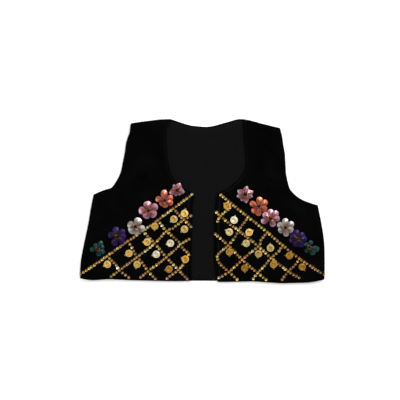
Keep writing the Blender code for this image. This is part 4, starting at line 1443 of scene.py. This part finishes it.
PETAL_LENGTH = 12.0 * MM
PETAL_WIDTH = 10.0 * MM
PETAL_START = 2.0 * MM
PETAL_SIDES = 12
RIDGE_SHARE = 0.45
RIDGE_WIDTH = 0.08
RIDGE_CREASE = 0.8
RIDGE_SHIFT = 0.42  # towards the beads, so that the outer half slopes down to its tip
POINTED_TAPER = -1.3
ROUND_TAPER = 0.5
NEIGHBOUR_LAP = 1.4 * MM
ROUND_ROOM = 62.0 * MM  # shared by the widths of a flower's round petals
LEAST_WIDTH = 10.2 * MM
TEAL_SHARE = 0.8  # the teal petals are narrow
POINTED_WIDTH = 10.8 * MM
WIDTH_LIMIT = 1.05  # a short petal's width beside its length
PETAL_LIFT = 0.6 * MM  # the petals' tips over the cloth
PETAL_STAGGER = 0.3 * MM  # every other petal lies a little higher
PETAL_DROOP = math.radians(8)
PETAL_LAP = math.radians(6)
# How far one petal or bead may differ from the next
WIDTH_SPREAD = (0.92, 1.04)
DROOP_SPREAD = (-0.05, 0.05)
TONE_SPREAD = (0.85, 1.12)
LAP_SPREAD = (-0.08, 0.08)
SEED_TIPS = (0.2, 0.6)
SEED_TONES = ("#a8702a", "#7a381a", "#bd8f40", "#5c2a12")
SEED_MIDDLE = "#24120a"
TEAL_SEEDS = ("#7c4526", "#8c6a44", "#5c2a16")
SEED_LIFT = 1.9 * MM
MIDDLE_LIFT = 2.1 * MM
RING_SHARE = 1.25  # the radius of the ring of beads, in beads
FLOWER_SEED = 11
RIB_TURNS = 2 * math.pi * 7  # seven ribs across a petal
RIB_SHADE = 0.08
BLOOM_SIZE = 6.25 * MM
PEARL_GLOSS = {"metallic": 0.6, "specular_ior_level": 0.2, "coat_weight": 0.75}
DYED_GLOSS = {"metallic": 0.2, "specular_ior_level": 0.06, "coat_weight": 0.08}
FACES_DOWN = -0.5  # the most height of the unit normal of a face on a solid's underside


def petal(settings, pointed):
    """One petal with a ridge down its middle, lying out along +X. A pointed one narrows to its tip."""
    start_modelling()
    half = PETAL_LENGTH / 2
    bpy.ops.mesh.primitive_cone_add(
        vertices=PETAL_SIDES,
        radius1=half,
        radius2=half * RIDGE_SHARE,
        depth=settings.petal_crown,
        end_fill_type="NGON",
        location=(0, 0, settings.petal_crown / 2),
    )
    made = bpy.context.object
    bpy.ops.object.transform_apply(location=True)
    edit_all()
    bpy.ops.transform.resize(value=(1, PETAL_WIDTH / PETAL_LENGTH, 1), center_override=(0, 0, 0))
    select_faces(made, lambda face: face.normal.z > LEVEL)
    bpy.ops.transform.resize(value=(1, RIDGE_WIDTH, 1), center_override=(0, 0, 0))
    bpy.ops.transform.translate(value=(-half * RIDGE_SHIFT, 0, 0))
    bpy.ops.transform.edge_crease(value=RIDGE_CREASE)
    select_faces(made, lambda face: face.normal.z < -LEVEL)
    bpy.ops.mesh.delete(type="ONLY_FACE")
    bpy.ops.object.mode_set(mode="OBJECT")
    taper = POINTED_TAPER if pointed else ROUND_TAPER
    apply_modifier(made, "SIMPLE_DEFORM", deform_method="TAPER", deform_axis="X", factor=taper)
    apply_modifier(made, "SUBSURF", levels=2, render_levels=2)
    apply_modifier(made, "SOLIDIFY", thickness=settings.petal_wall, offset=-1)
    edit_all()
    bpy.ops.transform.translate(value=(half, 0, 0))
    bpy.ops.object.mode_set(mode="OBJECT")
    mesh = taken_mesh(made)
    mark(mesh, "along", lambda point: point.x / PETAL_LENGTH)
    mark(mesh, "rib", lambda point: point.y / PETAL_WIDTH)
    return mesh


def resting_frame(node, spec):
    """The plane that a flower's solid rests on, as a frame at the flower's middle."""
    mesh = frame["nodes"][node].data
    rows = []
    for polygon in mesh.polygons:
        if polygon.normal.z < FACES_DOWN:
            rows += [tuple(mesh.vertices[i].co) for i in polygon.vertices]
    x, y, z = np.array(rows).T
    plane = np.column_stack([x - spec.x * MM, y - spec.y * MM, np.ones(len(rows))])
    slope_x, slope_y, middle = np.linalg.lstsq(plane, z, rcond=None)[0].tolist()
    point = Vector((spec.x * MM, spec.y * MM, middle))
    return frame_on(point, Vector((-slope_x, -slope_y, 1)), Vector((1, 0, 0)))


def petal_reach(spec, others, reach, turn):
    """How far a petal reaches from the flower's middle, lapping a neighbour's by a little."""
    for other in others:
        away = Vector((other.x - spec.x, other.y - spec.y)) * MM
        towards = math.cos(turn - math.atan2(away.y, away.x))
        if towards > 0:
            share = spec.width / (spec.width + other.width)
            reach = min(reach, (away.length * share + NEIGHBOUR_LAP) / towards)
    return reach


def petal_copies(spec, others, place, petals, draw):
    """A flower's petals, each lapped over the next like a pinwheel."""
    base, middle, tip = (linear(colour) for colour in PETAL_COLOURS[spec.colour])
    most_width = POINTED_WIDTH if spec.pointed else max(LEAST_WIDTH, ROUND_ROOM / len(spec.petals))
    copies = []
    for i, (degrees, reach) in enumerate(spec.petals):
        turn = math.radians(degrees)
        length = petal_reach(spec, others, reach * MM, turn) - PETAL_START
        width = min(most_width, length * WIDTH_LIMIT) * draw.uniform(*WIDTH_SPREAD)
        width *= TEAL_SHARE if spec.colour == "teal" else 1
        droop = PETAL_DROOP + draw.uniform(*DROOP_SPREAD)
        lift = PETAL_LIFT + length * math.sin(droop) + PETAL_STAGGER * (i % 2)
        tone = draw.uniform(*TONE_SPREAD)
        # each petal's dark base and light tip are painted shade and a painted highlight
        shade = tuple(tuple(value * tone for value in colour) for colour in (base, base, middle, tip))
        matrix = (
            place
            @ Matrix.Rotation(turn, 4, "Z")
            @ Matrix.Translation((PETAL_START, 0, lift))
            @ Matrix.Rotation(droop, 4, "Y")
            @ Matrix.Rotation(PETAL_LAP + draw.uniform(*LAP_SPREAD), 4, "X")
            @ Matrix.Diagonal((length / PETAL_LENGTH, width / PETAL_WIDTH, 1, 1))
        )
        copies.append(Copy(petals[spec.pointed], matrix, shade, 0))
    return copies


def seed_copies(spec, place, seed, settings, draw):
    """The ring of seed beads round a dark one in a flower's middle."""
    tones = TEAL_SEEDS if spec.colour == "teal" else SEED_TONES
    ring = settings.seed_diameter * RING_SHARE
    copies = [Copy(seed, place @ Matrix.Translation((0, 0, MIDDLE_LIFT)), (linear(SEED_MIDDLE),), 1)]
    first = draw.uniform(0, 2 * math.pi)
    for i in range(settings.seed_count):
        turn = first + 2 * math.pi * i / settings.seed_count
        spot = (ring * math.cos(turn), ring * math.sin(turn), SEED_LIFT)
        tip = Matrix.Rotation(draw.uniform(*SEED_TIPS), 4, (-math.sin(turn), math.cos(turn), 0))
        copies.append(Copy(seed, place @ Matrix.Translation(spot) @ tip, (linear(draw.choice(tones)),), 1))
    return copies


def petal_film(name, pearl):
    """Pressed acetate film with fine ribs. A pearl coat blooms white; dyed film has a low satin gloss."""
    material, add, place = new_material(name, "Object")
    tone = add("ShaderNodeAttribute", {"attribute_name": "shade"})
    across = add("ShaderNodeAttribute", {"attribute_name": "rib"}).outputs["Fac"]
    bloom = add("ShaderNodeTexNoise", vector=place, scale=1 / BLOOM_SIZE, detail=3.0)
    ribs = add("ShaderNodeMath", {"operation": "MULTIPLY"}, _0=across, _1=RIB_TURNS)
    wave = add("ShaderNodeMath", {"operation": "SINE"}, _0=ribs)
    # the ribs' wave darkens and lightens the colour as painted shade and highlight, over the coat's random
    # bloom
    tone_shift = add("ShaderNodeMath", {"operation": "MULTIPLY_ADD"}, _0=wave, _1=RIB_SHADE, _2=bloom)
    light = add("ShaderNodeMapRange", value=tone_shift, from_min=0.3, from_max=0.7, to_min=0.8, to_max=1.15)
    multiply = {"data_type": "RGBA", "blend_type": "MULTIPLY"}
    colour = add("ShaderNodeMix", multiply, _0=1.0, _6=tone, _7=light)
    bump = {"height": wave, "strength": 0.3, "distance": 0.1 * MM}
    gloss = dict(PEARL_GLOSS if pearl else DYED_GLOSS, roughness=0.26, coat_roughness=0.1)
    finished(add, bump, base_color=colour.outputs[2], **gloss)
    return material


class VEST_OT_flowers(bpy.types.Operator):
    """Makes the petalled flowers, each on the plane that its solid rests on."""

    bl_idname = "vest.flowers"
    bl_label = "Flowers"

    def execute(self, context):
        settings = context.scene.vest_flowers
        petals = {pointed: petal(settings, pointed) for pointed in (False, True)}
        seed = bead(settings.seed_diameter, settings.seed_diameter * BEAD_HEIGHT)
        pearl, dyed = petal_film("pearl acetate", True), petal_film("dyed acetate", False)
        glass = known_material("seed bead glass", bead_glass)
        draw = random.Random(FLOWER_SEED)
        for side, specs in FLOWERS.items():
            for spec in specs:
                node = f"flower_{side}_{spec.colour}"
                place = resting_frame(node, spec)
                others = [other for other in specs if other is not spec]
                copies = petal_copies(spec, others, place, petals, draw)
                copies += seed_copies(spec, place, seed, settings, draw)
                film = dyed if spec.colour in DULL else pearl
                made = joined_piece(f"petals_{side}_{spec.colour}", copies, [film, glass])
                dressed(made, "vest", spec.colour, node)
        return {"FINISHED"}


# Stage


FLOOR_SIZE = 60.0
FLOOR_GLOW = 0.12  # the paper is lit a little from within, which softens shadows
TOOTH_GRAIN = 3.3333 * MM
KEY_PLACE = (0.75, 1.0, 1.35)
KEY_SIZE = 0.6
FILL_PLACE = (-1.2, 0.1, 1.4)
FILL_SIZE = 1.0
GLOW_START = 0.55  # the cosine from the key light at which the glow begins
SKY_LOW = 0.7
SKY_GLOW = 2.2
CAMERA_CENTRE = (-0.00336, 0.002)
SENSOR = 36.0


def paper(colour):
    """Matt white background paper: even, with a very faint tooth."""
    material, add, place = new_material("white paper", "Object")
    tooth = add("ShaderNodeTexNoise", vector=place, scale=1 / TOOTH_GRAIN, detail=3.0)
    bump = {"height": tooth, "strength": 0.05, "distance": 0.1 * MM}
    glow = {"emission_color": (1, 1, 1, 1), "emission_strength": FLOOR_GLOW}
    finished(add, bump, base_color=(*colour, 1), roughness=0.9, specular_ior_level=0.0, **glow)
    return material


def sky(strength):
    """Soft studio light from all round, with a broad glow about the key light."""
    world = bpy.data.worlds.new("studio")
    bpy.context.scene.world = world
    world.use_nodes = True
    world.node_tree.nodes.clear()
    add = functools.partial(add_node, world.node_tree)
    way = add("ShaderNodeTexCoord").outputs["Generated"]
    to_key = Vector(KEY_PLACE).normalized()
    nearness = add("ShaderNodeVectorMath", {"operation": "DOT_PRODUCT"}, _0=way, _1=to_key)
    light = add(
        "ShaderNodeMapRange",
        {"interpolation_type": "SMOOTHSTEP"},
        value=nearness.outputs["Value"],
        from_min=GLOW_START,
        from_max=1.0,
        to_min=strength * SKY_LOW,
        to_max=strength * SKY_GLOW,
    )
    back = add("ShaderNodeBackground", color=(1, 1, 1, 1), strength=light)
    add("ShaderNodeOutputWorld", surface=back)


def softbox(name, power, place, size):
    """A square soft light aimed at the vest's middle."""
    start_modelling()
    bpy.ops.object.light_add(type="AREA", location=place)
    made = bpy.context.object
    made.name = name
    made.data.energy = power
    made.data.size = size
    made.rotation_euler = (-Vector(place)).to_track_quat("-Z", "Y").to_euler()


class VEST_OT_stage(bpy.types.Operator):
    """Sets up the floor, the lights and the camera."""

    bl_idname = "vest.stage"
    bl_label = "Stage"

    def execute(self, context):
        settings = context.scene.vest_stage
        start_modelling()
        bpy.ops.mesh.primitive_plane_add(size=FLOOR_SIZE)
        floor = bpy.context.object
        floor.name = "floor"
        floor.data.materials.append(paper(settings.floor_colour))
        sky(settings.sky_strength)
        softbox("key", settings.key_power, KEY_PLACE, KEY_SIZE)
        softbox("fill", settings.fill_power, FILL_PLACE, FILL_SIZE)
        bpy.ops.object.camera_add(location=(*CAMERA_CENTRE, settings.camera_height))
        camera = bpy.context.object
        camera.data.sensor_width = SENSOR
        camera.data.lens = SENSOR * settings.camera_height / settings.view_width
        context.scene.camera = camera
        context.scene.view_settings.view_transform = "Standard"
        return {"FINISHED"}


OPERATORS = (
    VEST_OT_stage,
    VEST_OT_back,
    VEST_OT_lining,
    VEST_OT_fronts,
    VEST_OT_sequins,
    VEST_OT_coins,
    VEST_OT_coin_threads,
    VEST_OT_flowers,
)


class VEST_PT_parts(bpy.types.Panel):
    """Lists the steps that dress the vest, with their settings."""

    bl_label = "Folk Vest"
    bl_space_type = "VIEW_3D"
    bl_region_type = "UI"
    bl_category = "Folk Vest"

    def draw(self, context):
        for kind in OPERATORS:
            self.layout.operator(kind.bl_idname)
        for name, kind in SETTINGS.items():
            box = self.layout.box()
            group = getattr(context.scene, name)
            for prop in kind.__annotations__:
                box.prop(group, prop)


def register():
    for kind in (*SETTINGS.values(), *OPERATORS, VEST_PT_parts):
        bpy.utils.register_class(kind)
    for name, kind in SETTINGS.items():
        setattr(bpy.types.Scene, name, bpy.props.PointerProperty(type=kind))


def unregister():
    for name in SETTINGS:
        delattr(bpy.types.Scene, name)
    for kind in (VEST_PT_parts, *reversed(OPERATORS), *SETTINGS.values()):
        bpy.utils.unregister_class(kind)


def main():
    """Dresses the vest."""
    register()
    for kind in OPERATORS:
        group, name = kind.bl_idname.split(".")
        getattr(getattr(bpy.ops, group), name)()


if __name__ == "__main__":
    main()
